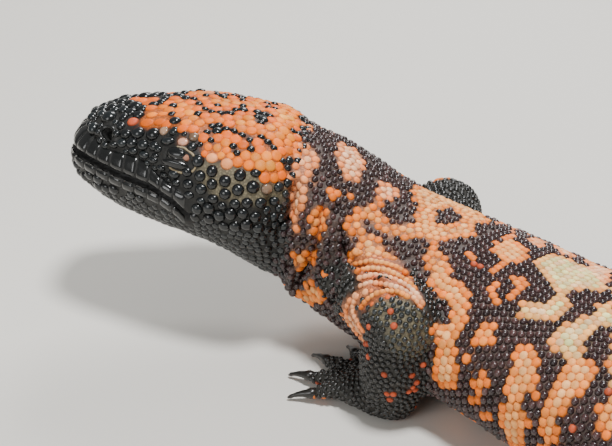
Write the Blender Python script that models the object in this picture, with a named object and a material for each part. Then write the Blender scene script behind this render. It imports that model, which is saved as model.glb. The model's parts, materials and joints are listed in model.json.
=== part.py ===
"""A reticulate gila monster, life size, as a still museum model.

The animal lies with its belly and tail on the floor and its chest raised on the forelegs. The
head is lifted and turned a little to its own left.

Metres, +Z up. The origin is on the floor, in the middle of the flat on which the belly rests.
+X runs towards the tail, +Y towards the animal's right. Tables are in millimetres and degrees.
A position along the body is measured on the spine, from the joint of head and neck to the tail tip.
"""

import math

import bmesh
import bpy
from mathutils import Matrix, Vector

MM = 0.001

# Driving dimensions
HEAD_LENGTH = 66.0
SPINE_LENGTH = 384.0
CUT = 0.3
SKIN_GROWTH = 0.32
BELLY_REST = 118.0
NECK_START = 5.0
BEAD_RISE = 0.9
SHARP_ANGLE = 50.0

# The parts of the body, by where they end on the spine
BODY_PARTS = (
    ("neck", NECK_START, 30.0),
    ("torso_front", 30.0, 84.0),
    ("torso_middle", 84.0, 146.0),
    ("torso_rear", 146.0, 232.0),
    ("tail_base", 232.0, 286.0),
    ("tail_middle", 286.0, 340.0),
    ("tail_tip", 340.0, SPINE_LENGTH),
)
BODY_SIDES = 36
RING_STEP = 4.5

# Spine: position, heading away from +X towards -Y
HEADINGS = (
    (0.0, 11.5), (6.0, 12.5), (18.0, 24.0), (38.0, 37.0), (70.0, 43.0), (112.0, 42.0), (160.0, 26.0),
    (205.0, 6.0), (240.0, -8.0), (290.0, -24.0), (340.0, -44.0), (SPINE_LENGTH, -62.0),
)
# Spine: position, height of the centre over the floor
HEIGHTS = (
    (0.0, 46.0), (7.0, 45.4), (13.0, 42.6), (22.0, 36.0), (34.0, 29.6), (48.0, 26.2), (66.0, 24.0),
    (92.0, 22.2), (120.0, 21.2), (160.0, 20.6), (196.0, 18.4), (232.0, 15.4), (280.0, 13.4),
    (330.0, 10.4), (366.0, 7.0), (SPINE_LENGTH, 4.2),
)
# Spine: position, how far the head end of each ring's plane leans back from upright
PITCHES = (
    (0.0, 5.35), (5.0, 5.35), (12.0, 13.0), (20.0, 23.0), (28.0, 25.0), (40.0, 18.0), (54.0, 10.0),
    (80.0, 4.0), (120.0, 0.0), (SPINE_LENGTH, 0.0),
)
# Spine: position, turn about its own line, which lifts the left side
ROLLS = ((0.0, 9.0), (12.0, 8.0), (40.0, 0.0), (SPINE_LENGTH, 0.0))
# Body: position, half width, height above the centre, depth below it
SECTIONS = (
    (0.0, 20.5, 15.4, 17.2), (5.0, 20.5, 15.2, 17.6), (11.0, 20.8, 14.4, 23.2), (18.0, 21.8, 14.4, 26.4),
    (26.0, 23.2, 15.2, 25.2), (34.0, 24.4, 16.2, 22.6), (46.0, 26.4, 17.4, 20.8), (70.0, 28.8, 18.4, 21.2),
    (100.0, 31.0, 19.2, 21.8), (130.0, 32.5, 19.6, 21.8), (160.0, 31.5, 19.4, 21.2),
    (190.0, 27.5, 18.4, 19.4), (214.0, 22.0, 16.4, 17.6), (234.0, 18.2, 14.6, 15.9),
    (258.0, 17.2, 14.2, 14.9), (290.0, 16.4, 13.6, 13.7), (322.0, 13.8, 11.6, 11.6),
    (350.0, 10.4, 8.8, 9.2), (370.0, 7.2, 6.2, 6.9), (380.0, 4.2, 3.8, 4.2),
    (SPINE_LENGTH, 1.4, 1.3, 1.4),
)
BACK_ROUNDNESS = 2.1
BELLY_ROUNDNESS = 2.5

# Skin folds of the neck: position at the flank, half width, depth, and how far each leans back at the throat
NECK_FOLDS = ((7.5, 2.6, 2.8, -4.0), (24.0, 2.2, 2.2, -5.0))
FOLD_FADE = 1.25

# Throat pouch: position behind the neck joint, how far the skin hangs below the section
POUCH = ((-30.0, 0.0), (-24.0, 0.8), (-15.0, 3.8), (-6.0, 8.2), (0.0, 9.6), (6.0, 7.2), (13.0, 2.6), (19.0, 0.0))
POUCH_NARROWNESS = 4

# Head: forward from the neck joint, half width, height of the crown, depth of the throat
HEAD_SECTIONS = (
    (0.0, 20.5, 15.3, 17.6), (2.5, 23.0, 16.8, 17.8), (8.0, 25.0, 18.5, 18.2), (17.0, 25.2, 18.9, 18.4),
    (25.0, 24.4, 19.0, 18.2), (33.0, 22.2, 18.2, 17.6), (40.0, 19.8, 17.0, 16.8),
    (47.0, 17.6, 15.0, 15.4), (54.0, 15.6, 13.2, 13.6), (59.0, 13.6, 11.2, 11.4),
    (63.0, 10.8, 8.6, 8.6), (65.2, 7.0, 5.4, 5.2), (HEAD_LENGTH, 3.2, 2.4, 2.4),
)
HEAD_SIDES = 36
HEAD_RINGS = 20
# Share of the head's rings that is spread evenly, while the rest crowd towards the snout
EVEN_RINGS = 0.45
CROWN_ROUNDNESS = 2.25
THROAT_ROUNDNESS = 2.15
# Line of the mouth: forward from the neck joint, height over the head's axis
MOUTH_LINE = (
    (-2.0, -14.0), (18.0, -9.6), (25.5, -7.0), (29.0, -4.2), (36.0, -1.9), (46.0, -1.1), (58.0, 0.4), (72.0, 1.6),
)
MOUTH_STEPS = 19
MOUTH_CORNER = 24.0
MOUTH_GAP = 0.6
CUTTER_REACH = 34.0
LIP_RISE = 0.7
LIP_HEIGHT = 2.2
LIP_WIDTH = 1.5
LIP_LEAD = 4.0
LIP_FADE = 6.0
LIP_GROOVE_SHARE = 0.6
LIP_GROOVE_HEIGHT = 5.72
LIP_GROOVE_WIDTH = 1.2
BROW_RISE = 1.1
BROW_FORWARD = 28.8
BROW_LENGTH = 6.0
# The brow's place and width, as shares of the way out from the crown to the flank
BROW_OUT = 0.72
BROW_WIDTH = 0.16
EYE_FORWARD = 29.8
EYE_UP = 9.2
EYE_RADIUS = 3.5
EYE_DEPTH = 1.9
LID_RADIUS = 0.95
LID_SUNK = 0.5
LID_STRETCH = (1.28, 1.0, 0.86)
NOSTRIL_FORWARD = 52.6
NOSTRIL_UP = 8.2
NOSTRIL_RADIUS = 1.5
EAR_FORWARD = 3.2
EAR_UP = 1.5
EAR_SIZE = (1.0, 1.6, 3.4)

# Limbs: side (1 is left), spine position of the root, side and height of the joint from the spine,
# then azimuth from straight ahead outwards and elevation of each bone, and the heading of the foot
LIMBS = {
    "fore_left": (1, 34.0, 16.0, -1.0, (146.0, 6.0), (-32.0, -80.0), -14.0),
    "fore_right": (-1, 40.0, 12.0, -2.5, (64.0, -3.0), (20.0, -75.0), 8.0),
    "hind_left": (1, 211.0, 12.0, 0.5, (58.0, 9.0), (116.0, -40.0), 46.0),
    "hind_right": (-1, 211.0, 12.0, 0.5, (74.0, 7.0), (126.0, -37.0), 58.0),
}
LIMB_NODES = {"fore": ("upper_arm", "forearm", "hand"), "hind": ("thigh", "shin", "foot")}
# Bone lengths: upper, lower, palm or sole
BONES = {"fore": (27.0, 25.0, 11.0), "hind": (30.0, 28.0, 14.0)}
# Along each bone: share of its length, half width, half height
UPPER_BONE = {
    "fore": ((0.0, 10.5, 10.5), (0.5, 10.2, 10.2), (1.0, 10.2, 10.2)),
    "hind": ((0.0, 12.0, 12.0), (0.5, 11.4, 11.4), (1.0, 9.6, 9.6)),
}
LOWER_BONE = {
    "fore": ((0.0, 8.3, 8.3), (0.45, 9.6, 9.6), (1.0, 7.6, 7.6)),
    "hind": ((0.0, 7.7, 7.7), (0.4, 9.4, 9.4), (1.0, 6.6, 6.6)),
}
PALM = {
    "fore": ((0.0, 6.2, 5.6), (0.6, 9.0, 5.4), (1.0, 9.0, 4.6)),
    "hind": ((0.0, 5.4, 4.9), (0.6, 9.2, 5.4), (1.0, 9.4, 4.6)),
}
LIMB_SIDES = 12
LIMB_STEP = 3.8
CAP_TURNS = (68.0, 36.0)
ROOT_SUNK = 9.0
PALM_HEIGHT = 4.4
WRIST_RISE = 2.0

# Toes: spread from the foot's heading, length of each with its claw left out
TOES = {
    "fore": ((-44.0, 10.0), (-21.0, 14.0), (1.0, 15.5), (22.0, 14.0), (44.0, 10.5)),
    "hind": ((-46.0, 10.0), (-22.0, 14.0), (0.0, 16.5), (22.0, 17.0), (58.0, 11.0)),
}
TOE_SUNK = 3.0
KNUCKLE_SPREAD = 0.62
KNUCKLE_DROP = 0.8
TOE_FLATNESS = 0.92
# Along a toe: share of its length and height over the knuckle's line, then the radius at each of these
TOE_LINE = ((0.0, 0.0), (0.35, 1.1), (0.7, 0.6), (0.95, -0.75), (1.0, -0.95))
TOE_RADII = (2.7, 2.6, 2.3, 1.8, 1.45)
TOE_SIDES = 8
CLAW_LENGTH = 6.5
CLAW_RADIUS = 1.35
CLAW_TIP_RADIUS = 0.28
CLAW_SIDES = 8
CLAW_RINGS = 4
CLAW_ARCH = 0.5
CLAW_DROP = 2.2
CLAW_CLEARANCE = 0.15

COLOURS = {
    "beaded_skin": ((0.16, 0.08, 0.06), 0.45),
    "eye": ((0.012, 0.010, 0.009), 0.12),
    "claw": ((0.035, 0.030, 0.028), 0.35),
}


def clear_scene():
    """Remove every object that the scene starts with."""
    for thing in list(bpy.data.objects):
        bpy.data.objects.remove(thing, do_unlink=True)


def material(slot):
    """The named finish, made once."""
    found = bpy.data.materials.get(slot)
    if found:
        return found
    colour, roughness = COLOURS[slot]
    made = bpy.data.materials.new(slot)
    made.use_nodes = True
    shader = made.node_tree.nodes["Principled BSDF"]
    shader.inputs["Base Color"].default_value = (*colour, 1.0)
    shader.inputs["Roughness"].default_value = roughness
    shader.inputs["Metallic"].default_value = 0.0
    return made


def between(table, at, column=1):
    """A smooth curve through a table's rows, read at a position, with no overshoot between rows."""
    rows = [(row[0], row[column]) for row in table]
    if at <= rows[0][0]:
        return rows[0][1]
    if at >= rows[-1][0]:
        return rows[-1][1]
    index = max(i for i, row in enumerate(rows) if row[0] <= at)
    steps = [(b[1] - a[1]) / (b[0] - a[0]) for a, b in zip(rows, rows[1:])]

    def slope(i):
        if i == 0 or i == len(rows) - 1:
            return steps[min(i, len(steps) - 1)]
        before, after = steps[i - 1], steps[i]
        return 0.0 if before * after <= 0 else 2 * before * after / (before + after)

    (x0, y0), (x1, y1) = rows[index], rows[index + 1]
    span = x1 - x0
    t = (at - x0) / span
    return (
        y0 * (1 + 2 * t) * (1 - t) ** 2 + slope(index) * span * t * (1 - t) ** 2
        + y1 * t * t * (3 - 2 * t) + slope(index + 1) * span * t * t * (t - 1)
    )


def new_object(name, bm, slot, flat=False):
    """A named object from a bmesh, shaded smooth with sharp edges at its cuts."""
    mesh = bpy.data.meshes.new(name)
    bm.to_mesh(mesh)
    bm.free()
    thing = bpy.data.objects.new(name, mesh)
    bpy.context.scene.collection.objects.link(thing)
    mesh.materials.append(material(slot))
    if not flat:
        mesh.shade_smooth()
        mesh.set_sharp_from_angle(angle=math.radians(SHARP_ANGLE))
    return thing


def as_helper(thing):
    """Mark an object as a cutter, which isn't part of the model."""
    thing.hide_render = True
    thing.display_type = "WIRE"
    return thing


def apply_boolean(thing, others, operation, solver="EXACT"):
    """Join or cut an object with helpers, then remove the helpers."""
    group = bpy.data.collections.new(thing.name + "_helpers")
    for other in others:
        group.objects.link(other)
    modifier = thing.modifiers.new("join", "BOOLEAN")
    modifier.operation = operation
    modifier.operand_type = "COLLECTION"
    modifier.collection = group
    modifier.solver = solver
    graph = bpy.context.evaluated_depsgraph_get()
    result = bpy.data.meshes.new_from_object(thing.evaluated_get(graph))
    thing.modifiers.remove(modifier)
    thing.data = result
    for other in others:
        bpy.data.objects.remove(other, do_unlink=True)
    bpy.data.collections.remove(group)
    return thing


def keep_largest(thing):
    """Keep only the largest closed surface of an object's mesh."""
    bm = bmesh.new()
    bm.from_mesh(thing.data)
    unseen = set(bm.faces)
    groups = []
    while unseen:
        waiting = [unseen.pop()]
        group = list(waiting)
        while waiting:
            face = waiting.pop()
            for edge in face.edges:
                if len(edge.link_faces) != 2:
                    continue
                for other in edge.link_faces:
                    if other in unseen:
                        unseen.discard(other)
                        group.append(other)
                        waiting.append(other)
        groups.append(group)
    groups.sort(key=lambda faces: sum(face.calc_area() for face in faces))
    for group in groups[:-1]:
        bmesh.ops.delete(bm, geom=group, context="FACES")
    bm.to_mesh(thing.data)
    bm.free()
    return thing


def stand_on_floor(bm):
    """Cut a mesh off at the floor and close it with a flat."""
    geometry = bm.verts[:] + bm.edges[:] + bm.faces[:]
    cut = bmesh.ops.bisect_plane(
        bm, geom=geometry, dist=1e-7, plane_co=(0, 0, 0), plane_no=(0, 0, 1), clear_inner=True
    )
    rim = [item for item in cut["geom_cut"] if isinstance(item, bmesh.types.BMEdge)]
    if rim:
        bmesh.ops.holes_fill(bm, edges=rim, sides=0)


def tidy_mesh(thing, on_floor=False):
    """Merge doubles, stand the piece on the floor if it reaches it, and triangulate."""
    bm = bmesh.new()
    bm.from_mesh(thing.data)
    bmesh.ops.remove_doubles(bm, verts=bm.verts, dist=2e-6)
    if on_floor:
        stand_on_floor(bm)
    bmesh.ops.triangulate(bm, faces=bm.faces)
    bmesh.ops.recalc_face_normals(bm, faces=bm.faces)
    bm.to_mesh(thing.data)
    bm.free()
    thing.data.shade_smooth()
    thing.data.set_sharp_from_angle(angle=math.radians(SHARP_ANGLE))
    return thing


def skin_of_rings(rings, start=0):
    """A closed bmesh through rings of points. Every ring of odd number lies half a step further round."""
    bm = bmesh.new()
    loops = [[bm.verts.new(point) for point in ring] for ring in rings]
    count = len(rings[0])
    for k, (near, far) in enumerate(zip(loops, loops[1:]), start=start):
        for j in range(count):
            after = (j + 1) % count
            if k % 2:
                bm.faces.new((near[j], near[after], far[after]))
                bm.faces.new((near[j], far[after], far[j]))
            else:
                bm.faces.new((near[j], near[after], far[j]))
                bm.faces.new((near[after], far[after], far[j]))
    bm.faces.new(list(reversed(loops[0])))
    bm.faces.new(loops[-1])
    bmesh.ops.recalc_face_normals(bm, faces=bm.faces)
    return bm


def is_bead(ring, side):
    """Whether a point of the staggered net is the top of a bead: one point in three, six low ones round it."""
    return (side - ring // 2 - ring) % 3 == 0


def oval(half_width, above, below, turn, roundness_above, roundness_below):
    """A point of an egg-shaped section: across and up, for a turn in radians from the left side."""
    c, s = math.cos(turn), math.sin(turn)
    power = 2 / (roundness_above if s >= 0 else roundness_below)
    across = math.copysign(abs(c) ** power, c) * half_width
    up = math.copysign(abs(s) ** power, s) * (above if s >= 0 else below)
    return across, up


class Spine:
    """The line of the body's centre, with its frame at any position."""

    def __init__(self):
        self.step = 0.5
        self.plan = [Vector((0.0, 0.0))]
        for i in range(int(SPINE_LENGTH / self.step)):
            heading = math.radians(between(HEADINGS, (i + 0.5) * self.step))
            self.plan.append(self.plan[-1] + Vector((math.cos(heading), -math.sin(heading))) * self.step)
        self.shift = Vector((0.0, 0.0))
        self.shift = self.point(BELLY_REST).to_2d()

    def point(self, at):
        """The centre at a position, in millimetres. Past either end the line runs on straight."""
        inside = min(max(at, 0.0), SPINE_LENGTH - 1e-6)
        index = int(inside / self.step)
        share = inside / self.step - index
        flat = self.plan[index].lerp(self.plan[index + 1], share) - self.shift
        return Vector((flat.x, flat.y, between(HEIGHTS, inside)))

    def frame(self, at):
        """Forward, left and up of the body at a position."""
        heading, pitch = math.radians(between(HEADINGS, at)), math.radians(between(PITCHES, at))
        flat = Vector((-math.cos(heading), math.sin(heading), 0.0))
        forward = flat * math.cos(pitch) + Vector((0, 0, math.sin(pitch)))
        left = Vector((0, 0, 1)).cross(forward).normalized()
        left = Matrix.Rotation(math.radians(between(ROLLS, at)), 3, forward) @ left
        return forward, left, forward.cross(left).normalized()


def pouch(behind, turn):
    """How far the loose skin of the throat hangs down, behind the neck joint or before it."""
    return between(POUCH, behind) * max(0.0, -math.sin(turn)) ** POUCH_NARROWNESS


def fold_depth(at, turn):
    """How deep the neck's skin folds draw the surface in. They fade out over the back."""
    low_side = max(0.0, 1.0 - max(0.0, math.sin(turn)) * FOLD_FADE)
    depth = 0.0
    for place, half_width, deepest, lean in NECK_FOLDS:
        middle = place + lean * max(0.0, -math.sin(turn))
        depth += deepest * low_side * math.exp(-(((at - middle) / half_width) ** 2))
    return depth


def body_ring(spine, at, index, growth=0.0, drawn_back=0.0, plain=False):
    """One ring of the body's surface, in metres, which may be drawn back square to its own plane."""
    forward, left, up = spine.frame(at)
    centre = spine.point(at) - forward * drawn_back
    half_width, above, below = (between(SECTIONS, at, column) for column in (1, 2, 3))
    points = []
    for side in range(BODY_SIDES):
        turn = math.tau * (side + 0.5 * (index % 2)) / BODY_SIDES
        across, height = oval(half_width, above, below, turn, BACK_ROUNDNESS, BELLY_ROUNDNESS)
        offset = left * across + up * height
        rise = growth - fold_depth(at, turn) + pouch(at - NECK_START, turn)
        if is_bead(index, side) and not plain:
            rise += BEAD_RISE
        points.append((centre + offset * (1 + rise / offset.length)) * MM)
    return points


def ring_positions():
    """Where the body's rings stand: evenly between the cuts, at about the stated step."""
    positions = []
    for _, start, end in BODY_PARTS:
        count = round((end - start) / RING_STEP)
        positions += [start + (end - start) * i / count for i in range(count)]
    return positions + [SPINE_LENGTH]


def make_body(spine, positions):
    """The neck, the torso in three lengths and the tail in three, parted by thin cuts."""
    for name, start, end in BODY_PARTS:
        indices = [i for i, at in enumerate(positions) if start - 1e-6 <= at <= end + 1e-6]
        rings = []
        for index in indices:
            inward = CUT / 2 * ((index == indices[0]) - (index == indices[-1]))
            plain = index in (indices[0], indices[-1])
            rings.append(body_ring(spine, positions[index], index, drawn_back=inward, plain=plain))
        thing = new_object(name, skin_of_rings(rings, indices[0]), "beaded_skin")
        tidy_mesh(thing, on_floor=True)


def body_cutter(spine, positions, name):
    """The whole body grown by the gap that touching pieces keep, for cutting the limbs to it."""
    rings = [body_ring(spine, at, index, growth=SKIN_GROWTH) for index, at in enumerate(positions)]
    thing = new_object(name, skin_of_rings(rings), "beaded_skin", flat=True)
    return as_helper(thing)


class Head:
    """The head's own frame, and its surface by distance forward and turn round the axis."""

    def __init__(self, spine):
        self.origin = spine.point(NECK_START)
        self.forward, self.left, self.up = spine.frame(NECK_START)

    def place(self, forward, left, up):
        """A point of the head's frame, in metres."""
        return (self.origin + self.forward * forward + self.left * left + self.up * up) * MM

    def lip(self, forward, height):
        """How far the lips stand out at a height: two rounded rows, one over the mouth and one under it."""
        if forward < MOUTH_CORNER - LIP_LEAD:
            return 0.0
        fade = min(1.0, (forward - MOUTH_CORNER + LIP_LEAD) / LIP_FADE)
        away = abs(height - between(MOUTH_LINE, forward))
        row = math.exp(-(((away - LIP_HEIGHT) / LIP_WIDTH) ** 2))
        groove = LIP_GROOVE_SHARE * math.exp(-(((away - LIP_GROOVE_HEIGHT) / LIP_GROOVE_WIDTH) ** 2))
        return LIP_RISE * fade * (row - groove)

    def brow(self, forward, turn):
        """The ridge over each eye and the hollow in front of it."""
        along = math.exp(-(((forward - BROW_FORWARD) / BROW_LENGTH) ** 2))
        round_it = math.exp(-(((abs(math.cos(turn)) - BROW_OUT) / BROW_WIDTH) ** 2))
        return BROW_RISE * along * round_it * (math.sin(turn) > 0)

    def section(self, forward, turn):
        """Left and up of the surface, in millimetres."""
        half_width, crown, throat = (between(HEAD_SECTIONS, forward, column) for column in (1, 2, 3))
        across, height = oval(half_width, crown, throat, turn, CROWN_ROUNDNESS, THROAT_ROUNDNESS)
        reach = math.hypot(across, height)
        rise = self.lip(forward, height) * min(1.0, abs(across) / 6)
        rise += self.brow(forward, turn) + pouch(-forward, turn)
        scale = 1 + rise / max(reach, 1e-6)
        return across * scale, height * scale

    def side_point(self, forward, up, side):
        """The surface point on one side at a height, with the way out from it, both in the head's frame."""
        best = min(
            (math.tau * i / 720 for i in range(-180, 181)),
            key=lambda turn: abs(self.section(forward, turn)[1] - up),
        )
        across, height = self.section(forward, best)
        ahead = self.section(forward + 2.0, best)
        behind = self.section(forward - 2.0, best)
        over = self.section(forward, best + 0.06)
        under = self.section(forward, best - 0.06)
        along = Vector((4.0, ahead[0] - behind[0], ahead[1] - behind[1]))
        round_it = Vector((0.0, over[0] - under[0], over[1] - under[1]))
        out = round_it.cross(along).normalized()
        if out.y < 0:
            out.negate()
        return Vector((forward, across * side, height)), Vector((out.x, out.y * side, out.z))

    def turn_matrix(self, out, side):
        """Axes for a feature on the head's side: x along the head, y out of the surface, z up."""
        y = (self.forward * out.x + self.left * out.y + self.up * out.z).normalized()
        x = (self.forward - y * self.forward.dot(y)).normalized()
        z = x.cross(y) * (1 if side > 0 else -1)
        x = y.cross(z)
        return Matrix((x, y, z)).transposed().to_4x4()

    def stamp(self, name, local, out, side, scale, ring=None):
        """A sphere, or a ring of the given radii, set on the head as a helper or a piece."""
        bm = bmesh.new()
        if ring is None:
            bmesh.ops.create_uvsphere(bm, u_segments=12, v_segments=8, radius=MM)
        else:
            profile = bmesh.ops.create_circle(bm, segments=6, radius=ring[1] * MM)["verts"]
            bmesh.ops.rotate(bm, verts=profile, cent=(0, 0, 0), matrix=Matrix.Rotation(math.pi / 2, 3, "X"))
            bmesh.ops.translate(bm, verts=profile, vec=(ring[0] * MM, 0, 0))
            bmesh.ops.spin(
                bm, geom=bm.verts[:] + bm.edges[:], cent=(0, 0, 0), axis=(0, 0, 1), angle=math.tau,
                steps=16, use_merge=True,
            )
            bmesh.ops.rotate(bm, verts=bm.verts, cent=(0, 0, 0), matrix=Matrix.Rotation(math.pi / 2, 3, "X"))
        bmesh.ops.scale(bm, vec=scale, verts=bm.verts)
        bmesh.ops.transform(bm, matrix=self.turn_matrix(out, side), verts=bm.verts)
        bmesh.ops.translate(bm, vec=self.place(*local), verts=bm.verts)
        bmesh.ops.recalc_face_normals(bm, faces=bm.faces)
        return bm

    def whole(self):
        """The head and jaw in one piece, from the cut at the neck to the tip of the snout."""
        rings = []
        for k in range(HEAD_RINGS + 1):
            share = k / HEAD_RINGS
            crowded = EVEN_RINGS * share + (1 - EVEN_RINGS) * math.sin(share * math.pi / 2)
            forward = CUT / 2 + (HEAD_LENGTH - CUT / 2) * crowded
            ring = []
            for side in range(HEAD_SIDES):
                turn = math.tau * (side + 0.5 * (k % 2)) / HEAD_SIDES
                across, height = self.section(forward, turn)
                if is_bead(k, side) and 0 < k < HEAD_RINGS - 1:
                    reach = math.hypot(across, height)
                    across *= 1 + BEAD_RISE / reach
                    height *= 1 + BEAD_RISE / reach
                ring.append(self.place(forward, across, height))
            rings.append(ring)
        return skin_of_rings(rings)

    def under_mouth(self, name, drop):
        """A block below the line of the mouth, as wide as the head and more."""
        bm = bmesh.new()
        start, end = MOUTH_LINE[0][0], MOUTH_LINE[-1][0]
        places = [start + (end - start) * i / MOUTH_STEPS for i in range(MOUTH_STEPS + 1)]
        profile = [(at, between(MOUTH_LINE, at) - drop) for at in places]
        profile += [(end, -CUTTER_REACH), (start, -CUTTER_REACH)]
        face = bm.faces.new([bm.verts.new(self.place(at, -CUTTER_REACH, up)) for at, up in profile])
        grown = bmesh.ops.extrude_face_region(bm, geom=[face])
        moved = [item for item in grown["geom"] if isinstance(item, bmesh.types.BMVert)]
        bmesh.ops.translate(bm, verts=moved, vec=self.left * 2 * CUTTER_REACH * MM)
        bmesh.ops.recalc_face_normals(bm, faces=bm.faces)
        return as_helper(new_object(name, bm, "beaded_skin", flat=True))

    def make(self):
        """The head with its lids, nostrils and ears, the lower jaw, and the eyes."""
        head = new_object("head", self.whole(), "beaded_skin")
        jaw = new_object("jaw", self.whole(), "beaded_skin")
        apply_boolean(head, [self.under_mouth("mouth_cutter", 0.0)], "DIFFERENCE")
        apply_boolean(jaw, [self.under_mouth("jaw_keeper", MOUTH_GAP)], "INTERSECT")
        lids, holes = [], []
        for side, word in ((1, "left"), (-1, "right")):
            point, out = self.side_point(EYE_FORWARD, EYE_UP, side)
            seat = point - out * EYE_DEPTH
            ring = self.stamp("lid", point - out * LID_SUNK, out, side, LID_STRETCH, (EYE_RADIUS, LID_RADIUS))
            lids.append(as_helper(new_object("lid_" + word, ring, "beaded_skin")))
            socket = EYE_RADIUS + CUT
            holes.append(self.hole("socket_" + word, seat, out, side, (socket,) * 3))
            ball = self.stamp("eye", seat, out, side, (EYE_RADIUS,) * 3)
            tidy_mesh(new_object("eye_" + word, ball, "eye"))
            point, out = self.side_point(NOSTRIL_FORWARD, NOSTRIL_UP, side)
            holes.append(self.hole("nostril_" + word, point, out, side, (NOSTRIL_RADIUS,) * 3))
            point, out = self.side_point(EAR_FORWARD, EAR_UP, side)
            holes.append(self.hole("ear_" + word, point, out, side, EAR_SIZE))
        apply_boolean(head, lids, "UNION")
        apply_boolean(head, holes, "DIFFERENCE")
        for thing in (head, jaw):
            keep_largest(thing)
            tidy_mesh(thing)

    def hole(self, name, local, out, side, scale):
        """A rounded cutter set on the head."""
        return as_helper(new_object(name, self.stamp(name, local, out, side, scale), "beaded_skin"))


def limb_corners(spine, limb):
    """Root, elbow or knee, wrist or ankle, and front of the palm, then the foot's own way and its side."""
    side, at, outward, over, upper, lower, foot_heading = LIMBS[limb]
    forward, left, _ = spine.frame(at)
    forward = Vector((forward.x, forward.y, 0)).normalized()
    out = Vector((left.x, left.y, 0)).normalized() * side
    lengths = BONES[limb.split("_")[0]]

    def way(azimuth, elevation):
        a, e = math.radians(azimuth), math.radians(elevation)
        return (forward * math.cos(a) + out * math.sin(a)) * math.cos(e) + Vector((0, 0, math.sin(e)))

    joint = spine.point(at) + out * outward + Vector((0, 0, over))
    elbow = joint + way(*upper) * lengths[0]
    wrist = elbow + way(*lower) * lengths[1]
    wrist.z = PALM_HEIGHT + WRIST_RISE
    foot_way = way(foot_heading, 0.0)
    palm = wrist + foot_way * lengths[2]
    palm.z = PALM_HEIGHT
    root = joint - way(*upper) * ROOT_SUNK
    across = Vector((0, 0, 1)).cross(foot_way).normalized()
    return (root, elbow, wrist, palm), foot_way, across


def bone(start, end, table, across, growth=0.0):
    """One length of a limb: a studded tube with round ends, as wide and high as its table says."""
    way = (end - start).normalized()
    wide = (across - way * across.dot(way)).normalized()
    high = way.cross(wide)
    length = (end - start).length
    count = max(2, round(length / LIMB_STEP))
    stations = []
    for turn in CAP_TURNS:
        stations.append((0.0, -math.sin(math.radians(turn)), math.cos(math.radians(turn))))
    stations += [(i / count, 0.0, 1.0) for i in range(count + 1)]
    for turn in reversed(CAP_TURNS):
        stations.append((1.0, math.sin(math.radians(turn)), math.cos(math.radians(turn))))
    rings = []
    for index, (share, past, narrow) in enumerate(stations):
        half_width, half_height = (between(table, share, column) + growth for column in (1, 2))
        centre = start + way * (length * share + past * min(half_width, half_height))
        ring = []
        for j in range(LIMB_SIDES):
            turn = math.tau * (j + 0.5 * (index % 2)) / LIMB_SIDES
            rise = BEAD_RISE * (is_bead(index, j) and 0 < index < len(stations) - 1)
            offset = wide * math.cos(turn) * (half_width * narrow + rise)
            offset += high * math.sin(turn) * (half_height * narrow + rise)
            ring.append((centre + offset) * MM)
        rings.append(ring)
    return skin_of_rings(rings)


def tube(points, radii, sides, flatten=1.0):
    """A closed tapered tube through points, in metres, for a toe or a claw."""
    rings = []
    for i, (point, radius) in enumerate(zip(points, radii)):
        ahead = points[min(i + 1, len(points) - 1)]
        behind = points[max(i - 1, 0)]
        way = (ahead - behind).normalized()
        wide = Vector((0, 0, 1)).cross(way).normalized()
        high = way.cross(wide)
        ring = []
        for j in range(sides):
            turn = math.tau * (j + 0.5 * (i % 2)) / sides
            ring.append((point + wide * math.cos(turn) * radius + high * math.sin(turn) * radius * flatten) * MM)
        rings.append(ring)
    return skin_of_rings(rings)


def make_toes(limb, kind, palm, foot_way, across, side):
    """The toes of one foot as helpers to fuse with it, and their claws as pieces."""
    toes = []
    half_width = PALM[kind][-1][1]
    for number, (spread, length) in enumerate(TOES[kind], start=1):
        angle = math.radians(spread) * -side
        way = Matrix.Rotation(angle, 3, "Z") @ foot_way
        knuckle = palm - foot_way * TOE_SUNK + across * half_width * KNUCKLE_SPREAD * math.sin(angle)
        knuckle.z = PALM_HEIGHT - KNUCKLE_DROP
        reach = length + TOE_SUNK
        line = []
        for share, lift in TOE_LINE:
            line.append(knuckle + way * reach * share + Vector((0, 0, lift)))
        bm = tube(line, TOE_RADII, TOE_SIDES, TOE_FLATNESS)
        toes.append(as_helper(new_object(f"toe_{limb}_{number}", bm, "beaded_skin")))
        make_claw(f"claw_{limb}_{number}", line[-1] + way * CUT, way)
    return toes


def make_claw(name, root, way):
    """One curved, tapered claw that drops to just over the floor."""
    line, radii = [], []
    for ring in range(CLAW_RINGS + 1):
        share = ring / CLAW_RINGS
        rise = CLAW_ARCH * share - CLAW_DROP * share * share
        line.append(root + way * CLAW_LENGTH * share + Vector((0, 0, rise)))
        radii.append(CLAW_RADIUS + (CLAW_TIP_RADIUS - CLAW_RADIUS) * share)
    lowest = min(point.z - radius for point, radius in zip(line, radii))
    lift = Vector((0, 0, max(0.0, CLAW_CLEARANCE - lowest)))
    tidy_mesh(new_object(name, tube([point + lift for point in line], radii, CLAW_SIDES), "claw"))


def make_limb(spine, positions, limb):
    """One leg: its upper and lower lengths, the foot with its toes, and the claws."""
    kind, word = limb.split("_")
    side = LIMBS[limb][0]
    corners, foot_way, across = limb_corners(spine, limb)
    tables = (UPPER_BONE[kind], LOWER_BONE[kind], PALM[kind])
    made = []
    for node, start, end, table in zip(LIMB_NODES[kind], corners, corners[1:], tables):
        made.append(new_object(f"{node}_{word}", bone(start, end, table, across), "beaded_skin"))
    apply_boolean(made[2], make_toes(limb, kind, corners[3], foot_way, across, side), "UNION", "MANIFOLD")
    for index, thing in enumerate(made):
        cutters = [body_cutter(spine, positions, "body_cutter")]
        if index:
            bm = bone(corners[index - 1], corners[index], tables[index - 1], across, SKIN_GROWTH)
            cutters.append(as_helper(new_object("bone_cutter", bm, "beaded_skin")))
        for cutter in cutters:
            apply_boolean(thing, [cutter], "DIFFERENCE")
        tidy_mesh(keep_largest(thing), on_floor=True)
        keep_largest(thing)


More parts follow.
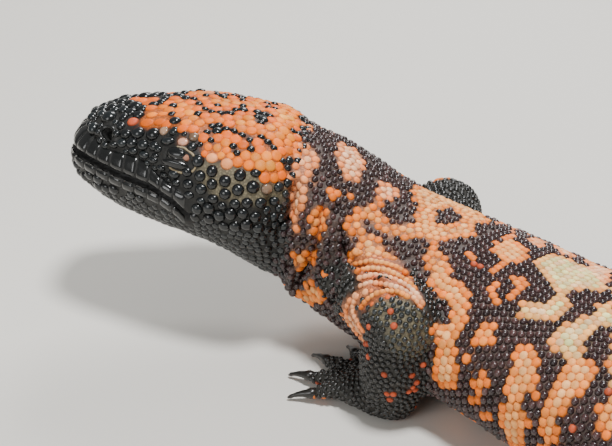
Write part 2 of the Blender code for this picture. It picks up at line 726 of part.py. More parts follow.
def main():
    """Build the whole animal."""
    clear_scene()
    spine = Spine()
    positions = ring_positions()
    make_body(spine, positions)
    Head(spine).make()
    for limb in LIMBS:
        make_limb(spine, positions, limb)


main()
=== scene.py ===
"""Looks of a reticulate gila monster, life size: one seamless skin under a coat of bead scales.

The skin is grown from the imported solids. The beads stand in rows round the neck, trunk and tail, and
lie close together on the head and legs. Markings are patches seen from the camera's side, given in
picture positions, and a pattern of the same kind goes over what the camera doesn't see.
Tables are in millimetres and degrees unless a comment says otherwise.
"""

from __future__ import annotations

import json
import logging
import math
from collections.abc import Callable
from dataclasses import dataclass, field
from enum import IntEnum

import bmesh
import bpy
import numpy as np
from mathutils import Matrix, Vector, noise
from mathutils.bvhtree import BVHTree
from mathutils.kdtree import KDTree

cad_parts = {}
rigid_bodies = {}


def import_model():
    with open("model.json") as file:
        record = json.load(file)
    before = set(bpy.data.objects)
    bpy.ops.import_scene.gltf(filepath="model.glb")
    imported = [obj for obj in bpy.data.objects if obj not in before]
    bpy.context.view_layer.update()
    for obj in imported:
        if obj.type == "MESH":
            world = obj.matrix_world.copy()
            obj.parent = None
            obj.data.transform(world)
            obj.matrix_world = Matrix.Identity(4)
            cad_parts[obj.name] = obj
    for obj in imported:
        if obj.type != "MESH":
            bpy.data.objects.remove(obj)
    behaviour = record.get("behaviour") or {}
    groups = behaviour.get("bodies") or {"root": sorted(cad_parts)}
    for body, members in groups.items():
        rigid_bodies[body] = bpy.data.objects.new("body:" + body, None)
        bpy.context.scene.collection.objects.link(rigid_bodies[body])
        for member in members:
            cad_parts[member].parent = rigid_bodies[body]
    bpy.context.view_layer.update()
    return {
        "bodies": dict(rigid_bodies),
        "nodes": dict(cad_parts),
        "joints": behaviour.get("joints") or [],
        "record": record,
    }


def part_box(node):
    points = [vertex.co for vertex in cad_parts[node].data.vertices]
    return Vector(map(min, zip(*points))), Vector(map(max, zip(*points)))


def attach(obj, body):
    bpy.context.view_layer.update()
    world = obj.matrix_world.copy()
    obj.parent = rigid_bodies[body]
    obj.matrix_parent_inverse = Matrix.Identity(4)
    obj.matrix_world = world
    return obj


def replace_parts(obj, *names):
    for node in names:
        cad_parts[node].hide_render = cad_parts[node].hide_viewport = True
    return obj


log = logging.getLogger("gila_monster")

MM = 0.001
SEED = 7
BODY = "root"
SIDES = ((1, "left"), (-1, "right"))
BUMP_DEPTH = 0.0002
TUBE_SIDES = 8

# The line of the body, as the solids have it: position from the neck joint, then heading, height,
# lean and roll
SPINE_LENGTH = 384.0
NECK_START = 5.0
BELLY_REST = 118.0
HEADINGS = (
    (0.0, 11.5), (6.0, 12.5), (18.0, 24.0), (38.0, 37.0), (70.0, 43.0), (112.0, 42.0), (160.0, 26.0),
    (205.0, 6.0), (240.0, -8.0), (290.0, -24.0), (340.0, -44.0), (SPINE_LENGTH, -62.0),
)
HEIGHTS = (
    (0.0, 46.0), (7.0, 45.4), (13.0, 42.6), (22.0, 36.0), (34.0, 29.6), (48.0, 26.2), (66.0, 24.0),
    (92.0, 22.2), (120.0, 21.2), (160.0, 20.6), (196.0, 18.4), (232.0, 15.4), (280.0, 13.4),
    (330.0, 10.4), (366.0, 7.0), (SPINE_LENGTH, 4.2),
)
PITCHES = (
    (0.0, 5.35), (5.0, 5.35), (12.0, 13.0), (20.0, 23.0), (28.0, 25.0), (40.0, 18.0), (54.0, 10.0),
    (80.0, 4.0), (120.0, 0.0), (SPINE_LENGTH, 0.0),
)
ROLLS = ((0.0, 9.0), (12.0, 8.0), (40.0, 0.0), (SPINE_LENGTH, 0.0))

# Head, forward and up from the neck joint
MOUTH_LINE = (
    (-2.0, -14.0), (18.0, -9.6), (25.5, -7.0), (29.0, -4.2), (36.0, -1.9), (46.0, -1.1), (58.0, 0.4),
    (72.0, 1.6),
)
LIP_GROOVE_LINE = (
    (24.0, -0.6), (27.3, 0.2), (33.3, 2.2), (42.4, 5.6), (51.9, 5.2), (61.1, 8.2), (70.0, 9.0),
)
MOUTH_CORNER = 25.0
EAR_PLACE = (3.2, 1.5)
NOSTRIL_PLACE = (52.6, 8.2)
NOSTRIL_SIZE = 1.55


class Region(IntEnum):
    """Which stretch of the animal a place belongs to."""

    HEAD = 0
    BODY = 1
    NEAR_ARM = 2
    LIMB = 3


class Shade(IntEnum):
    """The marking that a place carries."""

    DARK = 0
    HEAD_DARK = 1
    LIP = 2
    LIMB_DARK = 3
    ORANGE = 4
    PEACH = 5
    PINK = 6
    PALE = 7
    FOLD = 8
    DUSTY = 9
    RUST = 10
    TAN = 11
    ROSE = 12


Colour = tuple[int, int, int]


@dataclass(frozen=True)
class Tone:
    """How beads of one marking look: colours as 0 to 255, size and rise as shares of their spacing.

    A bead's crown lies anywhere between the two crown colours. The rim colour is that of beads at the edge
    of a patch, and the gap colour that of the skin between them.
    """

    crown: Colour
    other_crown: Colour
    rim: Colour
    gap: Colour
    width: float
    rise: float
    vary: float = 0.10


TONES: dict[Shade, Tone] = {
    Shade.DARK: Tone((40, 27, 29), (74, 50, 48), (36, 23, 23), (86, 69, 62), 0.50, 0.42, 0.2),
    Shade.HEAD_DARK: Tone((14, 17, 19), (24, 29, 31), (9, 10, 11), (26, 26, 22), 0.54, 0.34, 0.2),
    Shade.LIP: Tone((14, 17, 18), (18, 21, 22), (8, 9, 9), (12, 13, 12), 0.5, 0.3, 0.2),
    Shade.LIMB_DARK: Tone((22, 22, 22), (36, 35, 33), (15, 15, 14), (44, 42, 36), 0.5, 0.36, 0.2),
    Shade.ORANGE: Tone((232, 122, 6), (236, 156, 60), (226, 98, 2), (212, 104, 14), 0.63, 0.22, 0.10),
    Shade.PEACH: Tone((238, 160, 84), (240, 176, 112), (236, 118, 30), (214, 128, 66), 0.62, 0.30, 0.08),
    Shade.PINK: Tone((242, 176, 126), (244, 194, 156), (236, 134, 72), (216, 136, 90), 0.62, 0.28, 0.08),
    Shade.PALE: Tone((208, 208, 138), (234, 188, 140), (230, 138, 62), (206, 170, 112), 0.62, 0.26, 0.10),
    Shade.FOLD: Tone((236, 152, 92), (228, 124, 62), (216, 98, 42), (206, 110, 60), 0.44, 0.14),
    Shade.DUSTY: Tone((30, 34, 36), (46, 50, 50), (18, 18, 17), (122, 112, 86), 0.48, 0.38, 0.2),
    Shade.RUST: Tone((224, 116, 76), (234, 148, 110), (188, 82, 50), (78, 52, 36), 0.5, 0.36),
    Shade.TAN: Tone((112, 88, 68), (138, 110, 88), (62, 48, 36), (50, 42, 32), 0.5, 0.3, 0.2),
    Shade.ROSE: Tone((190, 126, 98), (206, 152, 126), (96, 66, 50), (50, 42, 32), 0.5, 0.3, 0.1),
}
LIGHT_SHADES = (Shade.ORANGE, Shade.PEACH, Shade.PINK, Shade.PALE, Shade.FOLD, Shade.RUST)

Picture = tuple[float, float]


@dataclass(frozen=True)
class Patch:
    """A marking's outline in the camera's picture, in pixels."""

    shade: Shade
    outline: tuple[Picture, ...]


@dataclass(frozen=True)
class Spot:
    """A marking of one or two beads: its centre and radius in the camera's picture."""

    shade: Shade
    centre: Picture
    radius: float


CROWN = Patch(Shade.ORANGE, (
    (119, 94), (122, 99), (131, 101), (136, 103), (144, 103), (146, 110), (145, 117), (139, 120),
    (142, 127), (150, 129), (158, 128), (166, 127), (178, 128), (182, 131), (190, 132), (197, 136),
    (203, 139), (201, 146), (203, 153), (208, 157), (214, 161), (222, 159), (233, 162), (240, 166),
    (247, 168), (255, 171), (262, 177), (268, 180), (276, 182), (290, 181), (300, 150), (300, 100),
    (262, 92), (241, 80), (184, 78), (178, 92), (150, 94), (146, 90), (122, 90),
))
HEAD_MARKS: tuple[Patch | Spot, ...] = (
    Patch(Shade.DUSTY, (
        (196, 158), (214, 162), (232, 164), (262, 178), (290, 184), (291, 200), (262, 206), (236, 203),
        (214, 196), (198, 182),
    )),
    CROWN,
    Patch(Shade.PINK, ((122, 90), (135, 89), (146, 88), (150, 94), (146, 98), (138, 97), (128, 96))),
    Patch(Shade.HEAD_DARK, (
        (148, 80), (150, 95), (158, 99), (166, 99), (172, 95), (182, 98), (186, 98), (184, 80),
    )),
    Patch(Shade.HEAD_DARK, ((156, 99), (158, 104), (164, 105), (168, 102), (167, 97), (160, 96))),
    Spot(Shade.HEAD_DARK, (174, 106), 3.8),
    Spot(Shade.HEAD_DARK, (173, 114), 3.2),
    Patch(Shade.HEAD_DARK, ((168, 117), (180, 118), (181, 124), (168, 124))),
    Patch(Shade.HEAD_DARK, (
        (193, 98), (201, 99), (207, 105), (213, 109), (222, 110), (232, 110), (238, 106), (242, 103),
        (247, 108), (243, 112), (236, 115), (226, 117), (215, 115), (208, 112), (202, 106), (198, 102),
    )),
    Spot(Shade.HEAD_DARK, (198, 115), 3.8),
    Patch(Shade.HEAD_DARK, ((219, 93), (227, 96), (227, 100), (221, 98))),
    Patch(Shade.HEAD_DARK, ((240, 97), (248, 97), (247, 101), (240, 101))),
    Patch(Shade.HEAD_DARK, (
        (253, 122), (256, 113), (262, 110), (268, 111), (275, 116), (268, 121), (262, 126),
    )),
    Patch(Shade.HEAD_DARK, (
        (212, 129), (214, 122), (221, 122), (222, 130), (214, 133), (208, 135), (203, 132),
    )),
    Patch(Shade.HEAD_DARK, ((208, 135), (212, 135), (215, 145), (212, 147))),
    Patch(Shade.HEAD_DARK, (
        (222, 126), (231, 127), (241, 132), (252, 136), (257, 141), (252, 145), (246, 139), (229, 132),
    )),
    Patch(Shade.HEAD_DARK, ((247, 142), (254, 143), (252, 153), (247, 152))),
    Patch(Shade.HEAD_DARK, ((231, 142), (236, 144), (241, 152), (237, 157), (232, 156))),
    Patch(Shade.HEAD_DARK, (
        (258, 133), (265, 133), (272, 138), (279, 148), (277, 152), (270, 148), (263, 141),
    )),
    Patch(Shade.HEAD_DARK, ((280, 160), (287, 158), (293, 162), (294, 176), (288, 172), (283, 166))),
    Spot(Shade.RUST, (121, 106), 2.6),
    Spot(Shade.RUST, (134, 121), 3.2),
    Spot(Shade.PINK, (182, 141), 3.6),
    Spot(Shade.PINK, (227, 164), 4.2),
    Spot(Shade.PINK, (207, 94), 4.0),
    Spot(Shade.RUST, (267, 186), 4.2),
)


@dataclass(frozen=True)
class Scale:
    """A large scale of the head: its centre and half sizes along and across in the camera's picture."""

    centre: Picture
    along: float
    across: float
    shade: Shade = Shade.HEAD_DARK


@dataclass(frozen=True)
class Fold:
    """A fold of the skin as a line in the camera's picture, with its depth in millimetres."""

    line: tuple[Picture, ...]
    depth: float
    half_width: float
    both_sides: bool = False


SNOUT_SCALES = (
    (114, 96, 5, 5), (105, 102, 6.5, 6.5, Shade.TAN), (95, 108, 6, 6), (121, 107, 5.5, 5.5),
    (125, 100, 4.5, 4), (136, 106, 7.5, 6.5), (109, 117, 9, 8.5), (124, 117, 5, 5.5), (139, 115, 6.5, 5.5),
    (121, 126, 5, 4.5), (133, 122, 6, 5, Shade.RUST), (86, 118, 6, 7), (93, 128, 6, 7), (126, 134, 6, 5),
    (138, 133, 7.5, 6.5), (153, 134, 7.5, 7), (164, 131, 5, 5, Shade.TAN), (174, 131, 5, 5),
    (122, 143, 6, 5), (132, 143, 6, 5.5), (143, 145, 6.5, 5.5), (154, 146, 5.5, 5), (133, 151, 5.5, 4),
    (144, 155, 6, 4), (153, 160, 5.5, 3.5), (161, 168, 5.5, 3.5), (114, 145, 5, 4),
)
ORANGE_SCALES = (
    (153, 100, 6.5, 5, Shade.ORANGE), (151, 108, 6.5, 5, Shade.ORANGE), (152, 115, 6.5, 4.5, Shade.ORANGE),
    (163, 107, 5.5, 4.5, Shade.ORANGE), (163, 114, 5.5, 3.5, Shade.ORANGE),
    (147, 123, 7.5, 5.5, Shade.ORANGE), (160, 122, 7, 5, Shade.ORANGE), (128, 93, 7, 4, Shade.PINK),
    (143, 93, 7, 4.5, Shade.PINK), (173, 106, 5, 4.5), (172, 114, 4.5, 3.5), (175, 121, 6.5, 5),
    (160, 90, 7, 4), (163, 95, 5.5, 4), (174, 92, 5.5, 4), (198, 114, 4.5, 4.5),
)
CHEEK_SCALES = (
    (192, 147, 6, 5), (198, 161, 6.5, 6.5), (174, 174, 6.5, 5), (187, 172, 6, 5.5), (188, 184, 6.5, 5.5),
    (200, 176, 6, 6), (212, 171, 6, 6.5), (212, 184, 6, 6), (201, 189, 6, 5.5), (213, 199, 6, 5),
    (225, 181, 6.5, 6.5), (225, 194, 6, 5.5), (240, 175, 6.5, 6.5), (238, 190, 6.5, 6.5),
    (253, 187, 6.5, 6.5), (235, 204, 5.5, 5), (247, 203, 6, 5.5), (261, 203, 6, 5.5),
    (267, 189, 6, 5.5, Shade.TAN), (256, 173, 5.5, 4), (279, 187, 6, 5.5), (274, 201, 5.5, 5),
    (227, 164, 6, 5.5, Shade.PINK), (212, 158, 6, 5, Shade.PINK), (222, 206, 5, 4.5), (176, 183, 5, 4),
    (189, 195, 5.5, 4), (201, 201, 5, 4), (164, 175, 5, 3.5),
)
BROW_SCALES = (
    (168, 141, 8.5, 4.5), (183, 142, 6, 4.5, Shade.ROSE), (194, 137, 5.5, 5, Shade.TAN),
    (158, 149, 4.5, 3.5), (155, 156, 4.5, 3.2),
)
# The thin dark marks of the crown, scale by scale
MARK_SCALES = (
    (194, 99), (199, 104), (205, 109), (212, 112), (220, 113), (228, 113), (236, 110), (243, 106),
    (212, 126), (219, 125), (207, 132), (211, 140), (226, 129), (234, 131), (242, 135), (250, 140),
    (251, 149), (233, 146), (237, 153), (257, 117), (264, 114), (270, 116), (261, 123), (261, 137),
    (268, 142), (274, 148), (283, 161), (288, 168), (292, 175), (224, 98), (243, 98), (293, 131),
    (299, 134),
)
MARK_SIZE = (4.2, 3.4)


def named_scales() -> tuple[Scale, ...]:
    """The large scales of the head, from their rows of place, half sizes and shade."""
    marks = tuple((*at, *MARK_SIZE) for at in MARK_SCALES)
    rows = SNOUT_SCALES + ORANGE_SCALES + CHEEK_SCALES + BROW_SCALES + marks
    return tuple(Scale(row[:2], *row[2:]) for row in rows)


FOLD_LINES = (
    Fold(((322, 212), (318, 235), (308, 262), (297, 284)), 2.3, 4.2, True),
    Fold(((295, 186), (291, 212), (284, 226), (270, 241), (252, 252)), 3.0, 4.2, True),
    Fold(((341, 228), (343, 248), (352, 262), (372, 268), (390, 270), (405, 275)), 1.7, 4.0),
    Fold(((366, 271), (385, 275), (402, 283), (414, 295), (422, 308)), 1.1, 3.0),
    Fold(((369, 279), (392, 291), (405, 297), (417, 304)), 1.0, 3.0),
    Fold(((343, 248), (336, 272), (331, 300)), 1.8, 5.0),
    Fold(((306, 240), (298, 258), (284, 270)), 0.9, 4.0, True),
    Fold(((337, 205), (331, 225), (326, 250)), 0.7, 4.0, True),
)
SHOULDER = Patch(Shade.PEACH, (
    (375, 198), (381, 197), (382, 203), (379, 209), (384, 214), (388, 220), (394, 225), (405, 225),
    (415, 223), (416, 213), (416, 204), (412, 198), (410, 190), (414, 186), (425, 190), (440, 193),
    (455, 197), (463, 200), (474, 205), (484, 215), (490, 223), (476, 225), (475, 236), (462, 238),
    (450, 239), (440, 241), (438, 247), (445, 254), (450, 266), (452, 279), (463, 281), (468, 291),
    (471, 298), (467, 305), (469, 312), (467, 318), (462, 328), (457, 340), (455, 355), (457, 368),
    (455, 380), (452, 392), (443, 388), (435, 383), (432, 370), (435, 355), (437, 345), (432, 335),
    (430, 325), (436, 323), (440, 328), (446, 326), (451, 318), (453, 308), (450, 302), (440, 300),
    (434, 294), (430, 284), (430, 270), (423, 265), (423, 256), (427, 250), (427, 241), (418, 238),
    (405, 238), (390, 238), (381, 233), (376, 227), (371, 222), (364, 221), (361, 226), (363, 232),
    (370, 234), (378, 239), (385, 247), (390, 252), (395, 258), (402, 266), (399, 270), (375, 268),
    (355, 265), (348, 265), (346, 261), (350, 253), (357, 247), (360, 241), (351, 238), (347, 229),
    (345, 221), (350, 215), (357, 209), (367, 205),
))
BODY_MARKS: tuple[Patch | Spot, ...] = (
    Patch(Shade.PINK, (
        (240, 80), (262, 95), (270, 106), (285, 112), (298, 116), (307, 124), (314, 130), (297, 133),
        (300, 139), (310, 145), (316, 152), (317, 165), (313, 178), (306, 182), (305, 192), (303, 206),
        (299, 215), (301, 224), (297, 236), (291, 234), (293, 222), (290, 212), (291, 190), (284, 182),
        (276, 182), (262, 177), (250, 150),
    )),
    Patch(Shade.DARK, ((290, 129), (298, 130), (302, 134), (298, 137), (292, 133))),
    Patch(Shade.DARK, ((290, 148), (296, 147), (302, 155), (296, 155), (290, 152))),
    Patch(Shade.DARK, ((281, 160), (288, 158), (293, 162), (294, 176), (288, 173), (283, 166))),
    Patch(Shade.PINK, (
        (336, 146), (342, 142), (349, 147), (356, 150), (362, 157), (364, 166), (362, 174), (357, 181),
        (349, 182), (342, 178), (339, 168), (338, 157),
    )),
    Patch(Shade.PEACH, ((329, 189), (336, 187), (339, 194), (335, 199), (331, 203), (329, 198))),
    Spot(Shade.PEACH, (348, 196), 4.0),
    Spot(Shade.PEACH, (314, 183), 3.8),
    Patch(Shade.PEACH, (
        (315, 207), (326, 206), (329, 212), (329, 222), (324, 230), (321, 240), (318, 249), (314, 243),
        (316, 235), (305, 234), (307, 228), (310, 219),
    )),
    Patch(Shade.PEACH, (
        (291, 252), (306, 250), (318, 250), (319, 257), (315, 264), (308, 265), (304, 271), (299, 270),
        (296, 264),
    )),
    Spot(Shade.RUST, (285, 244), 3.0),
    Spot(Shade.PEACH, (328, 273), 4.2),
    Spot(Shade.PEACH, (325, 266), 2.8),
    Patch(Shade.PEACH, (
        (306, 282), (311, 279), (317, 287), (327, 296), (318, 303), (305, 304), (297, 298),
    )),
    Patch(Shade.PINK, (
        (379, 182), (388, 183), (396, 187), (397, 196), (392, 200), (385, 202), (380, 197), (377, 191),
    )),
    SHOULDER,
    Patch(Shade.FOLD, (
        (366, 270), (380, 268), (402, 266), (407, 275), (413, 284), (418, 292), (423, 306), (430, 335),
        (372, 335), (350, 300),
    )),
    Patch(Shade.DARK, (
        (433, 216), (440, 210), (447, 207), (454, 212), (463, 217), (456, 222), (448, 223), (440, 225),
    )),
    Spot(Shade.PEACH, (429, 189), 3.4),
    Patch(Shade.PINK, (
        (496, 217), (505, 216), (512, 221), (520, 225), (525, 231), (516, 232), (507, 227), (497, 225),
    )),
    Spot(Shade.PINK, (531, 234), 3.6),
    Spot(Shade.PINK, (513, 234), 3.6),
    Patch(Shade.PINK, ((529, 241), (536, 237), (543, 239), (548, 245), (540, 248), (533, 245))),
    Patch(Shade.PINK, ((550, 241), (562, 246), (573, 249), (579, 256), (570, 259), (560, 254), (552, 249))),
    Patch(Shade.PINK, (
        (583, 259), (590, 262), (598, 265), (606, 269), (630, 280), (630, 300), (606, 284), (598, 278),
        (588, 269),
    )),
    Patch(Shade.PEACH, (
        (488, 241), (500, 242), (504, 235), (510, 233), (513, 240), (518, 244), (524, 246), (528, 254),
        (526, 262), (520, 266), (512, 265), (505, 267), (499, 269), (496, 265), (500, 259), (495, 254),
        (492, 250), (497, 247),
    )),
    Spot(Shade.PEACH, (471, 258), 4.6),
    Spot(Shade.RUST, (477, 266), 4.0),
    Spot(Shade.PEACH, (494, 273), 4.2),
    Patch(Shade.PEACH, (
        (495, 278), (501, 278), (499, 287), (496, 294), (488, 295), (489, 289), (493, 285),
    )),
    Spot(Shade.PEACH, (495, 300), 5.0),
    Patch(Shade.PEACH, (
        (508, 275), (513, 273), (519, 277), (528, 277), (528, 283), (522, 289), (517, 295), (512, 300),
        (506, 297), (510, 291), (514, 285), (510, 279),
    )),
    Patch(Shade.PALE, (
        (535, 259), (545, 258), (555, 255), (565, 258), (575, 263), (588, 269), (597, 275), (601, 282),
        (607, 289), (600, 294), (590, 291), (580, 290), (573, 292), (569, 296), (568, 303), (570, 308),
        (566, 314), (560, 318), (560, 322), (550, 322), (540, 320), (528, 320), (518, 320), (515, 315),
        (520, 309), (521, 302), (528, 300), (537, 301), (549, 305), (553, 301), (555, 293), (551, 286),
        (546, 279), (540, 272), (536, 266),
    )),
    Patch(Shade.PALE, (
        (640, 296), (606, 301), (598, 306), (593, 312), (583, 317), (577, 321), (567, 323), (560, 327),
        (556, 333), (551, 341), (548, 349), (556, 351), (562, 354), (563, 361), (592, 362), (585, 355),
        (584, 348), (590, 340), (592, 332), (600, 327), (640, 326),
    )),
    Patch(Shade.PEACH, (
        (563, 358), (567, 368), (562, 374), (555, 383), (549, 392), (546, 402), (545, 409), (541, 414),
        (539, 424), (542, 436), (546, 450), (562, 450), (560, 438), (556, 428), (556, 420), (565, 418),
        (570, 410), (575, 400), (582, 392), (588, 384), (594, 378), (595, 370), (590, 360), (585, 355),
    )),
    Patch(Shade.PEACH, (
        (521, 343), (528, 342), (533, 349), (538, 358), (539, 368), (538, 378), (537, 388), (539, 396),
        (533, 398), (527, 394), (521, 400), (522, 410), (527, 416), (530, 424), (524, 428), (520, 424),
        (522, 434), (527, 450), (513, 450), (508, 436), (502, 424), (502, 410), (505, 398), (506, 386),
        (508, 374), (511, 362), (516, 352),
    )),
    Patch(Shade.PEACH, (
        (482, 322), (488, 317), (492, 324), (497, 328), (496, 335), (493, 342), (488, 348), (482, 346),
        (477, 345), (475, 351), (470, 348), (472, 340), (472, 331), (478, 325),
    )),
    Spot(Shade.PEACH, (469, 356), 4.4),
    Spot(Shade.PEACH, (468, 364), 4.0),
    Patch(Shade.PEACH, ((470, 369), (475, 371), (475, 384), (470, 384))),
    Patch(Shade.PEACH, (
        (480, 364), (486, 367), (487, 375), (489, 385), (486, 391), (483, 384), (481, 390), (478, 396),
        (482, 404), (473, 410), (470, 403), (476, 393), (479, 383), (478, 372),
    )),
    Spot(Shade.PEACH, (486, 417), 4.6),
    Patch(Shade.PEACH, (
        (597, 408), (606, 402), (640, 400), (640, 436), (610, 437), (600, 435), (591, 431), (595, 420),
    )),
    Spot(Shade.RUST, (575, 431), 5.0),
    Spot(Shade.RUST, (575, 443), 4.0),
    Patch(Shade.PEACH, ((602, 367), (607, 357), (640, 354), (640, 370), (608, 371))),
    Spot(Shade.RUST, (612, 393), 4.0),
)
ARM_PATCHES: tuple[Patch, ...] = (
    SHOULDER,
    Patch(Shade.DUSTY, (
        (372, 300), (386, 296), (400, 296), (412, 302), (424, 316), (432, 332), (434, 346), (420, 356),
        (404, 360), (392, 350), (388, 340), (380, 322), (368, 316),
    )),
    Patch(Shade.PINK, (
        (340, 303), (352, 299), (357, 305), (357, 315), (359, 325), (362, 335), (366, 341), (356, 338),
        (340, 325),
    )),
    Patch(Shade.PINK, (
        (350, 300), (358, 290), (370, 284), (380, 286), (380, 290), (372, 293), (363, 298), (357, 306),
    )),
    Patch(Shade.FOLD, (
        (361, 312), (366, 302), (376, 296), (386, 291), (398, 290), (410, 296), (404, 298), (390, 297),
        (378, 300), (369, 306), (363, 314),
    )),
    Patch(Shade.FOLD, (
        (352, 264), (372, 254), (398, 256), (404, 266), (412, 280), (424, 304), (416, 302), (404, 292),
        (384, 288), (366, 292),
    )),
)
ARM_SPOTS = (
    (392, 311), (398, 327), (370, 327), (367, 342), (368, 357), (386, 375), (411, 374), (417, 379),
    (423, 368), (386, 393), (391, 399), (395, 391), (407, 390), (415, 389),
)
ARM_SPOT_RADIUS = 3.1
ARM_MARKS = ARM_PATCHES + tuple(Spot(Shade.RUST, at, ARM_SPOT_RADIUS) for at in ARM_SPOTS)


@dataclass(frozen=True)
class Rope:
    """A fold of the shoulder that carries one row of beads, as a line in the camera's picture."""

    shade: Shade
    line: tuple[Picture, ...]


ROPES = (
    Rope(Shade.PEACH, ((362, 307), (367, 300), (376, 294), (388, 291), (399, 292), (407, 297))),
    Rope(Shade.PINK, ((361, 286), (372, 283), (384, 284), (396, 287), (408, 293), (416, 300), (421, 308))),
    Rope(Shade.PINK, ((360, 278), (372, 275), (386, 277), (398, 281), (409, 287), (418, 296), (424, 307))),
    Rope(Shade.PEACH, ((358, 271), (371, 268), (385, 270), (397, 275), (407, 281), (416, 290))),
    Rope(Shade.PEACH, ((356, 264), (370, 261), (384, 263), (396, 267), (406, 273))),
    Rope(Shade.PINK, ((350, 301), (346, 309), (348, 318), (354, 328), (362, 338))),
    Rope(Shade.PINK, ((357, 297), (353, 305), (354, 314), (359, 324), (365, 333))),
)
ROPE_STEP = 5.2
MARKS: dict[Region, tuple[Patch | Spot, ...]] = {
    Region.HEAD: HEAD_MARKS,
    Region.BODY: BODY_MARKS,
    Region.NEAR_ARM: ARM_MARKS,
    Region.LIMB: (),
}
GROUND_SHADE = {
    Region.HEAD: Shade.HEAD_DARK,
    Region.BODY: Shade.DARK,
    Region.NEAR_ARM: Shade.LIMB_DARK,
    Region.LIMB: Shade.LIMB_DARK,
}


def between(table: tuple[tuple[float, float], ...], at: float) -> float:
    """A smooth curve through a table's rows, with no overshoot, as the solids use.

    Args:
        table: Rows of position and value, in rising order.
        at: The position to read.

    Returns:
        The value there.
    """
    if at <= table[0][0]:
        return table[0][1]
    if at >= table[-1][0]:
        return table[-1][1]
    index = max(i for i, row in enumerate(table) if row[0] <= at)
    steps = [(b[1] - a[1]) / (b[0] - a[0]) for a, b in zip(table, table[1:])]

    def slope(i: int) -> float:
        """The curve's slope at a row."""
        if i == 0 or i == len(table) - 1:
            return steps[min(i, len(steps) - 1)]
        before, after = steps[i - 1], steps[i]
        return 0.0 if before * after <= 0 else 2 * before * after / (before + after)

    (x0, y0), (x1, y1) = table[index], table[index + 1]
    span = x1 - x0
    t = (at - x0) / span
    return (
        y0 * (1 + 2 * t) * (1 - t) ** 2 + slope(index) * span * t * (1 - t) ** 2
        + y1 * t * t * (3 - 2 * t) + slope(index + 1) * span * t * t * (t - 1)
    )


def curve(table: tuple[tuple[float, float], ...], places: np.ndarray) -> np.ndarray:
    """Read a table at many places by straight steps between its rows."""
    return np.interp(places, [row[0] for row in table], [row[1] for row in table])


def linear(colour: np.ndarray) -> np.ndarray:
    """Turn 0 to 255 screen colours into the renderer's linear ones."""
    c = np.clip(np.asarray(colour, float) / 255.0, 0.0, 1.0)
    return np.where(c <= 0.04045, c / 12.92, ((c + 0.055) / 1.055) ** 2.4)


def bell(distance: np.ndarray, width: float) -> np.ndarray:
    """A smooth bump, one at no distance and gone past about twice the width."""
    return np.exp(-((distance / width) ** 2))


def ramp(values: np.ndarray, start: float, run: float) -> np.ndarray:
    """Nought at the start and one past the run, in a straight slope. A run below nought goes down."""
    return np.clip((values - start) / run, 0, 1)


def finder_of(points: list | np.ndarray) -> KDTree:
    """Make a finder of the nearest of some points.

    Args:
        points: The points, each with a place along, across and up.

    Returns:
        The finder, which names each point by its place in the list.
    """
    tree = KDTree(len(points))
    for i, point in enumerate(points):
        tree.insert(point, i)
    tree.balance()
    return tree


def linked(name: str, data: bpy.types.ID) -> bpy.types.Object:
    """A new object of the scene."""
    thing = bpy.data.objects.new(name, data)
    bpy.context.scene.collection.objects.link(thing)
    return thing


def finished(name: str, bm: bmesh.types.BMesh) -> bpy.types.Mesh:
    """Turn a working mesh into one of the scene, and let the working one go."""
    mesh = bpy.data.meshes.new(name)
    bm.to_mesh(mesh)
    bm.free()
    return mesh


def tint(mesh: bpy.types.Mesh, colours: np.ndarray) -> None:
    """Keep a colour for each point of a mesh, for its material to read."""
    rgba = np.ones((len(colours), 4), np.float32)
    rgba[:, :3] = colours
    layer = mesh.color_attributes.new("Tint", "FLOAT_COLOR", "POINT")
    layer.data.foreach_set("color", rgba.ravel())


